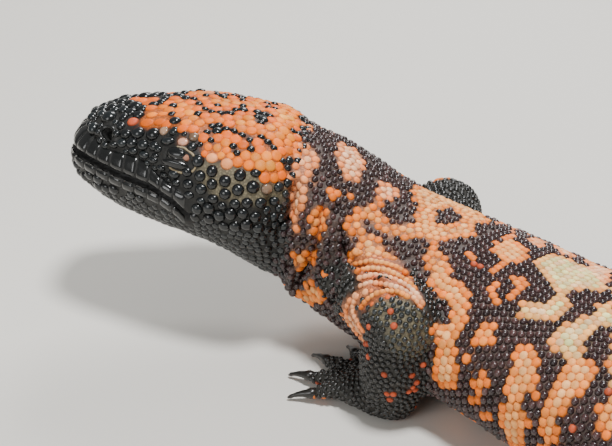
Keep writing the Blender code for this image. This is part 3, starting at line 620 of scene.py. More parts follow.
class Spine:
    """The line of the body's centre with its frame, sampled each millimetre."""

    HALF_STEP = 0.5
    BLOCK = 20000

    def __init__(self) -> None:
        """Walk along the headings and keep the frame at each step."""
        plan = [Vector((0.0, 0.0))]
        for i in range(int(SPINE_LENGTH / self.HALF_STEP)):
            heading = math.radians(between(HEADINGS, (i + 0.5) * self.HALF_STEP))
            plan.append(plan[-1] + Vector((math.cos(heading), -math.sin(heading))) * self.HALF_STEP)
        shift = plan[int(BELLY_REST / self.HALF_STEP)]
        self.at = np.arange(0.0, SPINE_LENGTH, 1.0)
        self.points, self.forward, self.left, self.up = np.zeros((4, len(self.at), 3))
        for i, at in enumerate(self.at):
            flat = plan[int(at / self.HALF_STEP)] - shift
            self.points[i] = (flat.x * MM, flat.y * MM, between(HEIGHTS, at) * MM)
            heading, pitch = math.radians(between(HEADINGS, at)), math.radians(between(PITCHES, at))
            forward = Vector((-math.cos(heading), math.sin(heading), 0.0)) * math.cos(pitch)
            forward += Vector((0, 0, math.sin(pitch)))
            left = Vector((0, 0, 1)).cross(forward).normalized()
            left = Matrix.Rotation(math.radians(between(ROLLS, at)), 3, forward) @ left
            self.forward[i], self.left[i] = forward, left
            self.up[i] = forward.cross(left).normalized()

    def frame(self, at: float) -> tuple[Vector, Vector, Vector, Vector]:
        """Centre, forward, left and up at a position, in metres."""
        parts = []
        for rows in (self.points, self.forward, self.left, self.up):
            parts.append(Vector([float(np.interp(at, self.at, rows[:, k])) for k in range(3)]))
        return parts[0], parts[1].normalized(), parts[2].normalized(), parts[3].normalized()

    def nearest(self, points: np.ndarray) -> np.ndarray:
        """The index of the nearest sample of the line to each point."""
        found = np.empty(len(points), int)
        for start in range(0, len(points), self.BLOCK):
            block = points[start:start + self.BLOCK]
            gaps = ((block[:, None, :] - self.points[None, :, :]) ** 2).sum(2)
            found[start:start + self.BLOCK] = gaps.argmin(1)
        return found

    def mirrored(self, points: np.ndarray, normals: np.ndarray) -> tuple[np.ndarray, np.ndarray]:
        """Reflect places to the other flank.

        Args:
            points: Places, in metres.
            normals: The way out at each.

        Returns:
            The reflected places, and the ways out there.
        """
        index = self.nearest(points)
        side = self.left[index]
        offset = ((points - self.points[index]) * side).sum(1, keepdims=True)
        lean = (normals * side).sum(1, keepdims=True)
        return points - 2 * offset * side, normals - 2 * lean * side

    def turn(self, points: np.ndarray, index: np.ndarray) -> np.ndarray:
        """The angle round the line from its left side, in radians, for each point."""
        offset = points - self.points[index]
        return np.arctan2((offset * self.up[index]).sum(1), (offset * self.left[index]).sum(1))


class HeadFrame:
    """The head's own frame: forward, left and up from the neck joint, in millimetres."""

    def __init__(self, spine: Spine) -> None:
        """Take the frame from the spine at the neck joint."""
        self.origin, self.forward, self.left, self.up = spine.frame(NECK_START)
        self.axes = np.array([self.forward, self.left, self.up])

    def local(self, points: np.ndarray) -> np.ndarray:
        """Points of the scene in the head's frame."""
        return (points - np.array(self.origin)) @ self.axes.T / MM

    def place(self, forward: float, left: float, up: float) -> Vector:
        """A point of the head's frame in the scene."""
        return self.origin + (self.forward * forward + self.left * left + self.up * up) * MM

    @staticmethod
    def from_nostril(local: np.ndarray) -> np.ndarray:
        """How far places of the head's frame are from the nostrils, seen from the side."""
        return np.hypot(local[:, 0] - NOSTRIL_PLACE[0], local[:, 2] - NOSTRIL_PLACE[1])

    def from_eyes(self, local: np.ndarray) -> np.ndarray:
        """How far places of the head's frame are from the nearer eye."""
        boxes = [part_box(name) for name in ("eye_left", "eye_right")]
        eyes = self.local(np.array([np.array((low + high) / 2) for low, high in boxes]))
        return np.minimum(*(np.linalg.norm(local - eye, axis=1) for eye in eyes))


@dataclass(frozen=True)
class Viewpoint:
    """The camera, which has the framing of the photo."""

    target: tuple[float, float, float] = (-0.0871, 0.1232, 0.0)
    elevation: float = 30.0
    distance: float = 0.545
    lens: float = 100.0
    sensor: float = 36.0
    width: int = 612
    height: int = 446
    clip: tuple[float, float] = (0.01, 20.0)

    @property
    def back(self) -> Vector:
        """The way from the target to the camera."""
        rise = math.radians(self.elevation)
        return Vector((0.0, -math.cos(rise), math.sin(rise)))

    def build(self) -> None:
        """Make the scene's camera."""
        data = bpy.data.cameras.new("camera")
        data.lens, data.sensor_width = self.lens, self.sensor
        data.clip_start, data.clip_end = self.clip
        camera = linked("camera", data)
        camera.location = Vector(self.target) + self.back * self.distance
        camera.rotation_euler = (-self.back).to_track_quat("-Z", "Y").to_euler()
        bpy.context.scene.camera = camera

    def project(self, points: np.ndarray) -> np.ndarray:
        """Find where points fall in the picture.

        Args:
            points: Places, in metres.

        Returns:
            How far right and down each is in the picture, in pixels.
        """
        back = np.array(self.back)
        right = np.array((1.0, 0.0, 0.0))
        over = np.cross(back, right)
        offset = points - (np.array(self.target) + back * self.distance)
        depth = -(offset @ back)
        scale = self.pixels_per_unit
        across = self.width / 2 + offset @ right / depth * scale
        down = self.height / 2 - offset @ over / depth * scale
        return np.stack((across, down), 1)

    @property
    def pixels_per_unit(self) -> float:
        """How many pixels a thing of unit size takes at unit distance."""
        return self.lens / self.sensor * self.width

    def ray(self, picture: Picture) -> tuple[Vector, Vector]:
        """The camera's place and the way from it through a pixel."""
        right = Vector((1.0, 0.0, 0.0))
        over = self.back.cross(right)
        x = (picture[0] - self.width / 2) / self.pixels_per_unit
        y = (self.height / 2 - picture[1]) / self.pixels_per_unit
        way = (right * x + over * y - self.back).normalized()
        return Vector(self.target) + self.back * self.distance, way

    def facing(self, points: np.ndarray, normals: np.ndarray) -> np.ndarray:
        """How squarely each place faces the camera, from -1 to 1."""
        way = np.array(self.target) + np.array(self.back) * self.distance - points
        way /= np.linalg.norm(way, axis=1, keepdims=True)
        return (way * normals).sum(1)


class Markings:
    """Which marking each place of the animal carries."""

    FACING_LIMIT = 0.02
    PATTERN_SIZE = 17.0
    WARP = 0.45
    WARP_FINENESS = 1.7
    DETAIL = 0.35
    DETAIL_FINENESS = 2.3
    DETAIL_PLACE = (5, 1, 3)
    TAIL_START = 236.0
    TAIL_BAND = 31.0
    BAND_WEIGHT = 0.9
    BELLY_LOSS = 0.16
    BELLY_SIDE = -0.5
    BLOTCH_LEVEL = 0.03
    BACK_SIDE = 0.55
    LIMB_BLOTCH_LEVEL = 0.34
    LIMB_SPOT_LEVEL = 0.36
    LIMB_SPOT_FINENESS = 7.0

    def __init__(self, spine: Spine, head: HeadFrame, viewpoint: Viewpoint) -> None:
        """Keep the frames that the markings are read in, and fix the noise, so that each run gives one net."""
        self.spine, self.head, self.viewpoint = spine, head, viewpoint
        noise.seed_set(SEED)

    @staticmethod
    def inside(mark: Patch | Spot, picture: np.ndarray) -> np.ndarray:
        """Which places of the picture lie in a mark."""
        if isinstance(mark, Spot):
            return np.hypot(picture[:, 0] - mark.centre[0], picture[:, 1] - mark.centre[1]) < mark.radius
        x, y = picture[:, 0], picture[:, 1]
        found = np.zeros(len(picture), bool)
        for (x0, y0), (x1, y1) in zip(mark.outline, mark.outline[1:] + mark.outline[:1]):
            if y0 == y1:
                continue
            crosses = (y0 > y) != (y1 > y)
            found ^= crosses & (x < (x1 - x0) * (y - y0) / (y1 - y0) + x0)
        return found

    def seen(self, picture: np.ndarray, regions: np.ndarray) -> np.ndarray:
        """The markings at places of the picture."""
        shades = np.empty(len(picture), int)
        for region in Region:
            here = np.flatnonzero(regions == region)
            shades[here] = GROUND_SHADE[region]
            for mark in MARKS[region]:
                hit = self.inside(mark, picture[here])
                shades[here[hit]] = mark.shade
        return shades

    def guessed(self, points: np.ndarray, regions: np.ndarray) -> np.ndarray:
        """A net over what the camera doesn't see: blotches on the trunk, bands on the tail.

        Args:
            points: Places on the skin, in metres.
            regions: The stretch of the animal that each belongs to.

        Returns:
            A number of Shade for each place.
        """
        index = self.spine.nearest(points)
        at, turn = self.spine.at[index], self.spine.turn(points, index)
        shades = np.array([GROUND_SHADE[Region(r)] for r in regions], int)
        for i, point in enumerate(points):
            q = Vector(point) / MM / self.PATTERN_SIZE
            warp = noise.noise_vector(q * self.WARP_FINENESS) * self.WARP
            detail = noise.noise(q * self.DETAIL_FINENESS + Vector(self.DETAIL_PLACE))
            value = noise.noise(q + warp) + self.DETAIL * detail
            height = math.sin(turn[i])
            if regions[i] == Region.BODY:
                along_tail = at[i] - self.TAIL_START
                if along_tail > 0:
                    value += self.BAND_WEIGHT * math.sin(math.tau * along_tail / self.TAIL_BAND)
                value -= self.BELLY_LOSS * (height < self.BELLY_SIDE)
                if value > self.BLOTCH_LEVEL:
                    on_back = height > self.BACK_SIDE and along_tail < 0
                    shades[i] = Shade.PALE if on_back else Shade.PEACH
            elif regions[i] in (Region.LIMB, Region.NEAR_ARM):
                if value > self.LIMB_BLOTCH_LEVEL:
                    shades[i] = Shade.PEACH
                elif noise.noise(q * self.LIMB_SPOT_FINENESS) > self.LIMB_SPOT_LEVEL:
                    shades[i] = Shade.RUST
        return shades

    def read(self, points: np.ndarray, normals: np.ndarray, regions: np.ndarray) -> np.ndarray:
        """The marking at each place.

        Args:
            points: Places on the skin, in metres.
            normals: The ways out of the skin there.
            regions: The stretch of the animal that each belongs to.

        Returns:
            A number of Shade for each place.
        """
        picture = self.viewpoint.project(points)
        direct = self.viewpoint.facing(points, normals) > self.FACING_LIMIT
        other, other_normals = self.spine.mirrored(points, normals)
        heads = regions == Region.HEAD
        local = self.head.local(points[heads]) * (1, -1, 1)
        other[heads] = np.array(self.head.origin) + local @ self.head.axes * MM
        turned = normals[heads] @ self.head.axes.T * (1, -1, 1)
        other_normals[heads] = turned @ self.head.axes
        reflected = self.viewpoint.facing(other, other_normals) > self.FACING_LIMIT
        reflected &= (regions == Region.HEAD) | (regions == Region.BODY)
        use_other = ~direct & reflected
        picture[use_other] = self.viewpoint.project(other[use_other])
        shades = self.seen(picture, regions)
        out = (picture[:, 0] > self.viewpoint.width) | (picture[:, 1] > self.viewpoint.height)
        unseen = (~direct & ~reflected) | out
        shades[unseen] = self.guessed(points[unseen], regions[unseen])
        return shades


class Skin:
    """One skin in place of every node of flesh, with the folds and the line of the mouth."""

    VOXEL = 1.2
    MERGE = 5e-6
    GAP_CLOSE = 0.22
    FINE_REACH = (1.0, 80.0)
    ROUNDS = {Region.HEAD: 34, Region.BODY: 17, Region.NEAR_ARM: 11, Region.LIMB: 11}
    FOOT_ROUNDS = 3
    TINT_ROUNDS = (5, 2)
    SETTLE = 0.42
    FOOT_SETTLE = 0.15
    SNOUT_SETTLE = 1.1
    SNOUT_FROM = (48.0, 14.0)

    # The mouth: rolls over and under its line as rise, height over the line and half width, and the
    # crease over the upper lip
    MOUTH_FADE = 3.0
    MOUTH_ROLLS = ((0.3, 2.2, 1.5), (0.35, -2.3, 1.4), (-1.9, 0.0, 0.7))
    CREASE_DEPTH = 0.7
    CREASE_WIDTH = 0.8
    CREASE_ENDS = ((26.0, 3.0), (66.0, -4.0))

    # Nostril and ear: depth, size and how far out they start
    NOSTRIL_DEPTH = 3.0
    NOSTRIL_ROLL = (0.45, 2.6, 0.8)
    NOSTRIL_OUT = 5.0
    EAR_DEPTH = 1.2
    EAR_TALL = 2.2
    EAR_WIDTH = 1.3
    EAR_OUT = 12.0

    # Brow, hollow under the eye, and cheek: rise, place and half width forwards, then upwards, and
    # how far out each starts
    SWELLINGS = (
        (0.7, 30.0, 6.5, 14.6, 2.0, 9.0), (-0.4, 31.0, 6.0, 3.6, 1.6, 9.0), (0.9, 9.0, 8.0, -4.0, 7.0, 10.0),
    )

    # Folds: how squarely they face the camera to be whole, and the swelling beside each
    FOLD_FACING = (-0.06, 0.15)
    FOLD_SWELL = 0.35
    FOLD_BESIDE = 2.1
    ARM_FOLD_STEP = 3.6
    ARM_FOLD_RISE = 0.45
    ARM_FOLD_SHIFT = (0.004, 0.008, -0.002)
    ARM_FOLD_REACH = ((13.0, 2.0), (25.0, -4.0))
    ARM_FOLD_ABOVE = (16.0, 8.0)
    ARM_FOLD_PICTURE = (428.0, -12.0)

    # Lids: their opening, and how the skin rises over the eyeball and sinks under its edge
    EYE_WRAP = 0.62
    EYE_OPENING = (3.95, 2.75)
    EYE_REACH = 8.0
    EYE_FADE = -2.5
    EYE_BACK = -0.5
    LID_EDGE = (0.98, 0.12)
    LID_SLOPE = 0.5
    LID_FLAT = 1.4
    LID_FALL = 3.0
    BALL_EDGE = (1.0, -0.1)
    BALL_SUNK = 0.35

    # Painted shade in the nostrils and the mouth's gap, how dark and how wide, and darker lip skin
    PIT_PAINTED_SHADE = 0.93
    MOUTH_SHADE_WIDTH = 0.9
    LIP_DARK = 0.6
    LIP_DARK_REACH = 5.0

    def __init__(self, frame: dict, spine: Spine, head: HeadFrame, markings: Markings) -> None:
        """Sort the nodes and start a finder of which node a place belongs to."""
        self.nodes = frame["nodes"]
        self.spine, self.head, self.markings = spine, head, markings
        self.flesh = sorted(n for n in self.nodes if not n.startswith(("claw", "eye")))
        corners = [(vert.co, name) for name in self.flesh for vert in self.nodes[name].data.vertices]
        self.finder = finder_of([place for place, _ in corners])
        self.owner = [name for _, name in corners]
        self.mesh: bpy.types.Mesh | None = None
        self.tree: BVHTree | None = None

    @staticmethod
    def region_of(name: str) -> Region:
        """The stretch of the animal that a node belongs to."""
        if name in ("head", "jaw"):
            return Region.HEAD
        if name.startswith(("neck", "torso", "tail")):
            return Region.BODY
        if name in ("upper_arm_left", "forearm_left", "hand_left"):
            return Region.NEAR_ARM
        return Region.LIMB

    def owners(self, points: np.ndarray) -> list[str]:
        """The node nearest to each point."""
        return [self.owner[self.finder.find(Vector(p))[1]] for p in points]

    @staticmethod
    def feet(owners: list[str]) -> np.ndarray:
        """Which places belong to a hand or a foot."""
        return np.array([name.startswith(("hand", "foot")) for name in owners])

    def grown_copy(self, name: str) -> bpy.types.Mesh:
        """A merged copy of a node's mesh, grown enough to close the cuts between nodes."""
        bm = bmesh.new()
        bm.from_mesh(self.nodes[name].data)
        bmesh.ops.remove_doubles(bm, verts=bm.verts, dist=self.MERGE)
        bm.normal_update()
        for vert in bm.verts:
            vert.co += vert.normal * self.GAP_CLOSE * MM
        return finished("grown_" + name, bm)

    def joined(self) -> bpy.types.Mesh:
        """All the flesh as one closed mesh of even squares, finer on the head."""
        bm = bmesh.new()
        for name in (*self.flesh, "eye_left", "eye_right"):
            bm.from_mesh(self.grown_copy(name))
        thing = linked("skin_maker", finished("skin", bm))
        remesh = thing.modifiers.new("even", "REMESH")
        remesh.mode = "VOXEL"
        remesh.voxel_size = self.VOXEL * MM
        graph = bpy.context.evaluated_depsgraph_get()
        result = bpy.data.meshes.new_from_object(thing.evaluated_get(graph))
        bpy.data.objects.remove(thing, do_unlink=True)
        bm = bmesh.new()
        bm.from_mesh(result)
        self.drop_scraps(bm)
        middles = np.array([face.calc_center_median() for face in bm.faces])
        ahead = self.head.local(middles)[:, 0]
        low, high = self.FINE_REACH
        on_head = [face for face, far in zip(bm.faces, ahead) if low < far < high]
        edges = list({edge for face in on_head for edge in face.edges})
        bmesh.ops.subdivide_edges(bm, edges=edges, cuts=1, use_grid_fill=True)
        bmesh.ops.triangulate(bm, faces=[f for f in bm.faces if len(f.verts) > 4])
        bm.to_mesh(result)
        bm.free()
        result.name = "skin"
        return result

    @staticmethod
    def drop_scraps(bm: bmesh.types.BMesh) -> None:
        """Keep only the largest shell of a mesh."""
        unseen = set(bm.verts)
        groups = []
        while unseen:
            waiting = [unseen.pop()]
            group = list(waiting)
            while waiting:
                for edge in waiting.pop().link_edges:
                    for other in edge.verts:
                        if other in unseen:
                            unseen.discard(other)
                            group.append(other)
                            waiting.append(other)
            groups.append(group)
        groups.sort(key=len)
        for group in groups[:-1]:
            bmesh.ops.delete(bm, geom=group, context="VERTS")

    @staticmethod
    def smoothed(points: np.ndarray, edges: np.ndarray, rounds: np.ndarray) -> np.ndarray:
        """Move points towards the mean of their neighbours.

        Args:
            points: The points, or a colour for each.
            edges: The two ends of each edge.
            rounds: How many times each point moves.

        Returns:
            The points in their new places.
        """
        count = len(points)
        a, b = edges[:, 0], edges[:, 1]
        degree = np.bincount(a, minlength=count) + np.bincount(b, minlength=count)
        points = points.copy()
        for done in range(int(rounds.max())):
            mean = np.empty_like(points)
            for k in range(3):
                mean[:, k] = np.bincount(a, points[b, k], count) + np.bincount(b, points[a, k], count)
            mean /= np.maximum(degree, 1)[:, None]
            live = rounds > done
            points[live] += 0.5 * (mean[live] - points[live])
        return points

    def normals(self) -> np.ndarray:
        """The ways out of the skin at its vertices."""
        found = np.empty(len(self.mesh.vertices) * 3, np.float32)
        self.mesh.vertex_normals.foreach_get("vector", found)
        return found.reshape(-1, 3).astype(float)

    def points(self) -> np.ndarray:
        """The skin's vertices."""
        found = np.empty(len(self.mesh.vertices) * 3, np.float32)
        self.mesh.vertices.foreach_get("co", found)
        return found.reshape(-1, 3).astype(float)

    def move_to(self, points: np.ndarray) -> None:
        """Give the skin's vertices new places."""
        self.mesh.vertices.foreach_set("co", points.astype(np.float32).ravel())
        self.mesh.update()

    def push(self, amount: np.ndarray) -> None:
        """Move the vertices along their normals, by millimetres, and keep them over the floor."""
        moved = self.points() + self.normals() * amount[:, None] * MM
        moved[:, 2] = np.maximum(moved[:, 2], 0.0)
        self.move_to(moved)

    def head_relief(self, points: np.ndarray) -> np.ndarray:
        """Shape the lips, grooves, nostrils, ears, brows and cheeks.

        Args:
            points: Places on the skin, in metres.

        Returns:
            How far each moves out, in millimetres.
        """
        local = self.head.local(points)
        f, l, u = local.T
        side = np.abs(l)
        away = u - curve(MOUTH_LINE, f)
        rolls = sum(rise * bell(away - high, width) for rise, high, width in self.MOUTH_ROLLS)
        move = rolls * ramp(f, MOUTH_CORNER - 2.0, self.MOUTH_FADE)
        (start, start_run), (end, end_run) = self.CREASE_ENDS
        crease = self.CREASE_DEPTH * bell(u - curve(LIP_GROOVE_LINE, f), self.CREASE_WIDTH)
        move -= crease * ramp(f, start, start_run) * ramp(f, end, end_run)
        pit = self.head.from_nostril(local)
        rise, far, width = self.NOSTRIL_ROLL
        nostril = rise * bell(pit - far, width) - self.NOSTRIL_DEPTH * np.exp(-((pit / NOSTRIL_SIZE) ** 4))
        move += nostril * (side > self.NOSTRIL_OUT)
        ear = np.hypot(f - EAR_PLACE[0], (u - EAR_PLACE[1]) / self.EAR_TALL)
        move -= self.EAR_DEPTH * bell(ear, self.EAR_WIDTH) * (side > self.EAR_OUT)
        for rise, ahead, length, high, height, out in self.SWELLINGS:
            move += rise * bell(f - ahead, length) * bell(u - high, height) * (side > out)
        return move

    def fold_relief(self, points: np.ndarray, normals: np.ndarray) -> np.ndarray:
        """Press in the folds of the neck and over the near arm.

        Args:
            points: Places on the skin, in metres.
            normals: The ways out of the skin there.

        Returns:
            How far each moves out, in millimetres.
        """
        view = self.markings.viewpoint
        move = np.zeros(len(points))
        for mirrored in (False, True):
            places, ways = self.spine.mirrored(points, normals) if mirrored else (points, normals)
            picture = view.project(places)
            seen = ramp(view.facing(places, ways), *self.FOLD_FACING)
            for fold in FOLD_LINES:
                if mirrored and not fold.both_sides:
                    continue
                gap = np.full(len(points), np.inf)
                for (x0, y0), (x1, y1) in zip(fold.line, fold.line[1:]):
                    run = np.array((x1 - x0, y1 - y0), float)
                    share = np.clip(((picture - (x0, y0)) @ run) / (run @ run), 0, 1)
                    off = picture - (x0, y0) - share[:, None] * run
                    gap = np.minimum(gap, np.linalg.norm(off, axis=1))
                swell = bell(gap - self.FOLD_BESIDE * fold.half_width, fold.half_width)
                move += fold.depth * seen * (self.FOLD_SWELL * swell - bell(gap, fold.half_width))
        return move

    def wrap_eyes(self, eyes: "Eyes") -> None:
        """Draw the skin over each eyeball as lids, with an opening like an almond between them."""
        points = self.points()
        wide, tall = self.EYE_OPENING
        for side, word in SIDES:
            centre = np.array(eyes.centre(self.head, word))
            axes = np.array(eyes.axes(self.head, side).to_3x3())
            local = (points - centre) @ axes / MM
            gap = np.linalg.norm(local, axis=1)
            near = (gap < self.EYE_REACH) & (local[:, 1] > self.EYE_BACK)
            way = local / np.maximum(gap, 1e-6)[:, None]
            ring = np.hypot(local[:, 0] / wide, local[:, 2] / tall)
            lift = ramp(gap, self.EYE_REACH, self.EYE_FADE) * ramp(ring, *self.LID_EDGE)
            slope = self.LID_SLOPE * np.clip(ring - self.LID_FLAT, 0, self.LID_FALL)
            lifted = np.maximum(gap, eyes.radius + self.EYE_WRAP - slope)
            sunk = np.minimum(gap, eyes.radius - self.BALL_SUNK)
            reach = gap + (lifted - gap) * lift
            reach = reach + (sunk - reach) * ramp(ring, *self.BALL_EDGE)
            moved = centre + (way * reach[:, None] * MM) @ axes.T
            points[near] = moved[near]
        self.move_to(points)

    def arm_folds(self, points: np.ndarray) -> np.ndarray:
        """Raise the soft folds that ring the near arm where it leaves the shoulder.

        Args:
            points: Places on the skin, in metres.

        Returns:
            How far each moves out, in millimetres.
        """
        low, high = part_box("upper_arm_left")
        centre = np.array(((low.x + high.x) / 2, low.y, (low.z + high.z) / 2)) + self.ARM_FOLD_SHIFT
        gap = np.linalg.norm(points - centre, axis=1) / MM
        (start, start_run), (end, end_run) = self.ARM_FOLD_REACH
        reach = ramp(gap, start, start_run) * ramp(gap, end, end_run)
        above = ramp(points[:, 2] / MM, *self.ARM_FOLD_ABOVE)
        above *= ramp(self.markings.viewpoint.project(points)[:, 0], *self.ARM_FOLD_PICTURE)
        return self.ARM_FOLD_RISE * reach * above * np.cos(math.tau * gap / self.ARM_FOLD_STEP)

    def build(self, finish: "SkinFinish", eyes: "Eyes") -> None:
        """Make the skin, shape it, mark it and put it in place of the flesh.

        Args:
            finish: The skin's material.
            eyes: The eyes that it is drawn over.
        """
        self.mesh = self.joined()
        points = self.points()
        owners = self.owners(points)
        feet = self.feet(owners)
        regions = np.array([self.region_of(n) for n in owners])
        heads = regions == Region.HEAD
        rounds = np.array([self.ROUNDS[Region(r)] for r in regions])
        rounds[feet] = self.FOOT_ROUNDS
        edges = np.empty(len(self.mesh.edges) * 2, np.int32)
        self.mesh.edges.foreach_get("vertices", edges)
        edges = edges.reshape(-1, 2)
        points = self.smoothed(points, edges, rounds)
        self.move_to(points)
        settle = np.where(feet, -self.FOOT_SETTLE, -self.SETTLE)
        settle -= self.SNOUT_SETTLE * ramp(self.head.local(points)[:, 0], *self.SNOUT_FROM) * heads
        self.push(settle)
        folds = self.fold_relief(points, self.normals()) + self.arm_folds(points)
        self.push(np.where(heads, self.head_relief(points), folds))
        self.wrap_eyes(eyes)
        points, normals = self.points(), self.normals()
        shades = self.markings.read(points, normals, regions)
        gaps = linear(np.array([TONES[Shade(s)].gap for s in shades]))
        gaps = self.smoothed(gaps, edges, np.where(heads, *self.TINT_ROUNDS))
        # The skin's colours carry painted shade in the nostrils and along the mouth's gap
        tint(self.mesh, gaps * self.painted_pit_shade(points, heads)[:, None])
        self.mesh.materials.clear()
        self.mesh.materials.append(finish.build())
        self.mesh.shade_smooth()
        thing = linked("skin", self.mesh)
        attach(thing, BODY)
        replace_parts(thing, *self.flesh)
        self.tree = BVHTree.FromObject(thing, bpy.context.evaluated_depsgraph_get())
        log.info("skin: %d faces", len(self.mesh.polygons))

    def painted_pit_shade(self, points: np.ndarray, heads: np.ndarray) -> np.ndarray:
        """Paint shade into the nostrils and the mouth's gap, and darken the lip skin near the mouth.

        Args:
            points: Places on the skin, in metres.
            heads: Which of them are on the head.

        Returns:
            How much of its colour each keeps, from 0 to 1.
        """
        local = self.head.local(points)
        from_mouth = local[:, 2] - curve(MOUTH_LINE, local[:, 0])
        has_mouth = local[:, 0] > MOUTH_CORNER - 1
        # Painted shade: darkest deep in each nostril and along the mouth's gap; the lip skin near it is darker
        # too
        dark = np.exp(-((self.head.from_nostril(local) / NOSTRIL_SIZE) ** 4))
        dark = np.maximum(dark, bell(from_mouth, self.MOUTH_SHADE_WIDTH) * has_mouth)
        dark = np.maximum(dark, self.LIP_DARK * (np.abs(from_mouth) < self.LIP_DARK_REACH) * has_mouth)
        return np.where(heads, 1.0 - self.PIT_PAINTED_SHADE * dark, 1.0)

    def surface(self, start: Vector, way: Vector) -> tuple[Vector, Vector] | None:
        """Where a line from inside the animal leaves the skin, with the way out there."""
        hit, normal, _, _ = self.tree.ray_cast(start, way)
        return None if hit is None else (hit, normal)


@dataclass
class Roots:
    """Where beads stand, with their frames and sizes."""

    points: list = field(default_factory=list)
    normals: list = field(default_factory=list)
    along: list = field(default_factory=list)
    spacing: list = field(default_factory=list)
    stretch: list = field(default_factory=list)
    shade: list = field(default_factory=list)
    region: list = field(default_factory=list)
    flat: list = field(default_factory=list)
    radius: list = field(default_factory=list)

    def add(
        self, point: Vector, normal: Vector, along: Vector, spacing: float, region: Region,
        stretch: float = 1.0, shade: Shade | None = None, flat: float = 1.0, radius: float = 0.0,
    ) -> None:
        """Keep one bead's root.

        Args:
            point: Its place on the skin.
            normal: The way out of the skin.
            along: The way that its length lies.
            spacing: How far it is to the next bead, in millimetres.
            region: The stretch of the animal.
            stretch: How much longer than wide, as the square root of the share.
            shade: Its marking, or None where it is read from the markings later.
            flat: How high it stands against its marking's rise.
            radius: Its radius in millimetres, or nought where the marking gives it.
        """
        self.points.append(tuple(point))
        self.normals.append(tuple(normal))
        self.along.append(tuple(along))
        self.spacing.append(spacing)
        self.stretch.append(stretch)
        self.shade.append(-1 if shade is None else int(shade))
        self.region.append(int(region))
        self.flat.append(flat)
        self.radius.append(radius)

    def only(self, kept: np.ndarray) -> "Roots":
        """The roots that are marked as kept."""
        return Roots(*([value for value, stays in zip(rows, kept) if stays] for rows in vars(self).values()))

    def keep(self, kept: np.ndarray) -> None:
        """Drop every root that isn't marked as kept."""
        vars(self).update(vars(self.only(kept)))


@dataclass(frozen=True)
class BeadShape:
    """One bead's mesh: a dome with a skirt that sinks into the skin."""

    sides: int
    profile: tuple[tuple[float, float], ...] = ((1.0, -0.55), (0.93, 0.2), (0.72, 0.62), (0.4, 0.9))
    merge: float = 1e-4

    def arrays(self) -> tuple[np.ndarray, np.ndarray]:
        """Points across, along and up from nought to one, and triangles."""
        bm = bmesh.new()
        line = [bm.verts.new((radius, 0.0, height)) for radius, height in self.profile]
        line.append(bm.verts.new((0.0, 0.0, 1.0)))
        edges = [bm.edges.new(pair) for pair in zip(line, line[1:])]
        bmesh.ops.spin(
            bm, geom=line + edges, cent=(0, 0, 0), axis=(0, 0, 1), angle=math.tau, steps=self.sides,
            use_merge=True,
        )
        bmesh.ops.remove_doubles(bm, verts=bm.verts, dist=self.merge)
        bmesh.ops.recalc_face_normals(bm, faces=bm.faces)
        bmesh.ops.triangulate(bm, faces=bm.faces)
        bm.verts.index_update()
        points = np.array([v.co[:] for v in bm.verts])
        faces = np.array([[v.index for v in f.verts] for f in bm.faces])
        top = faces[points[faces][:, :, 2].mean(1).argmax()]
        a, b, c = points[top]
        if np.cross(b - a, c - a)[2] < 0:
            faces = faces[:, ::-1]
        bm.free()
        return points, faces


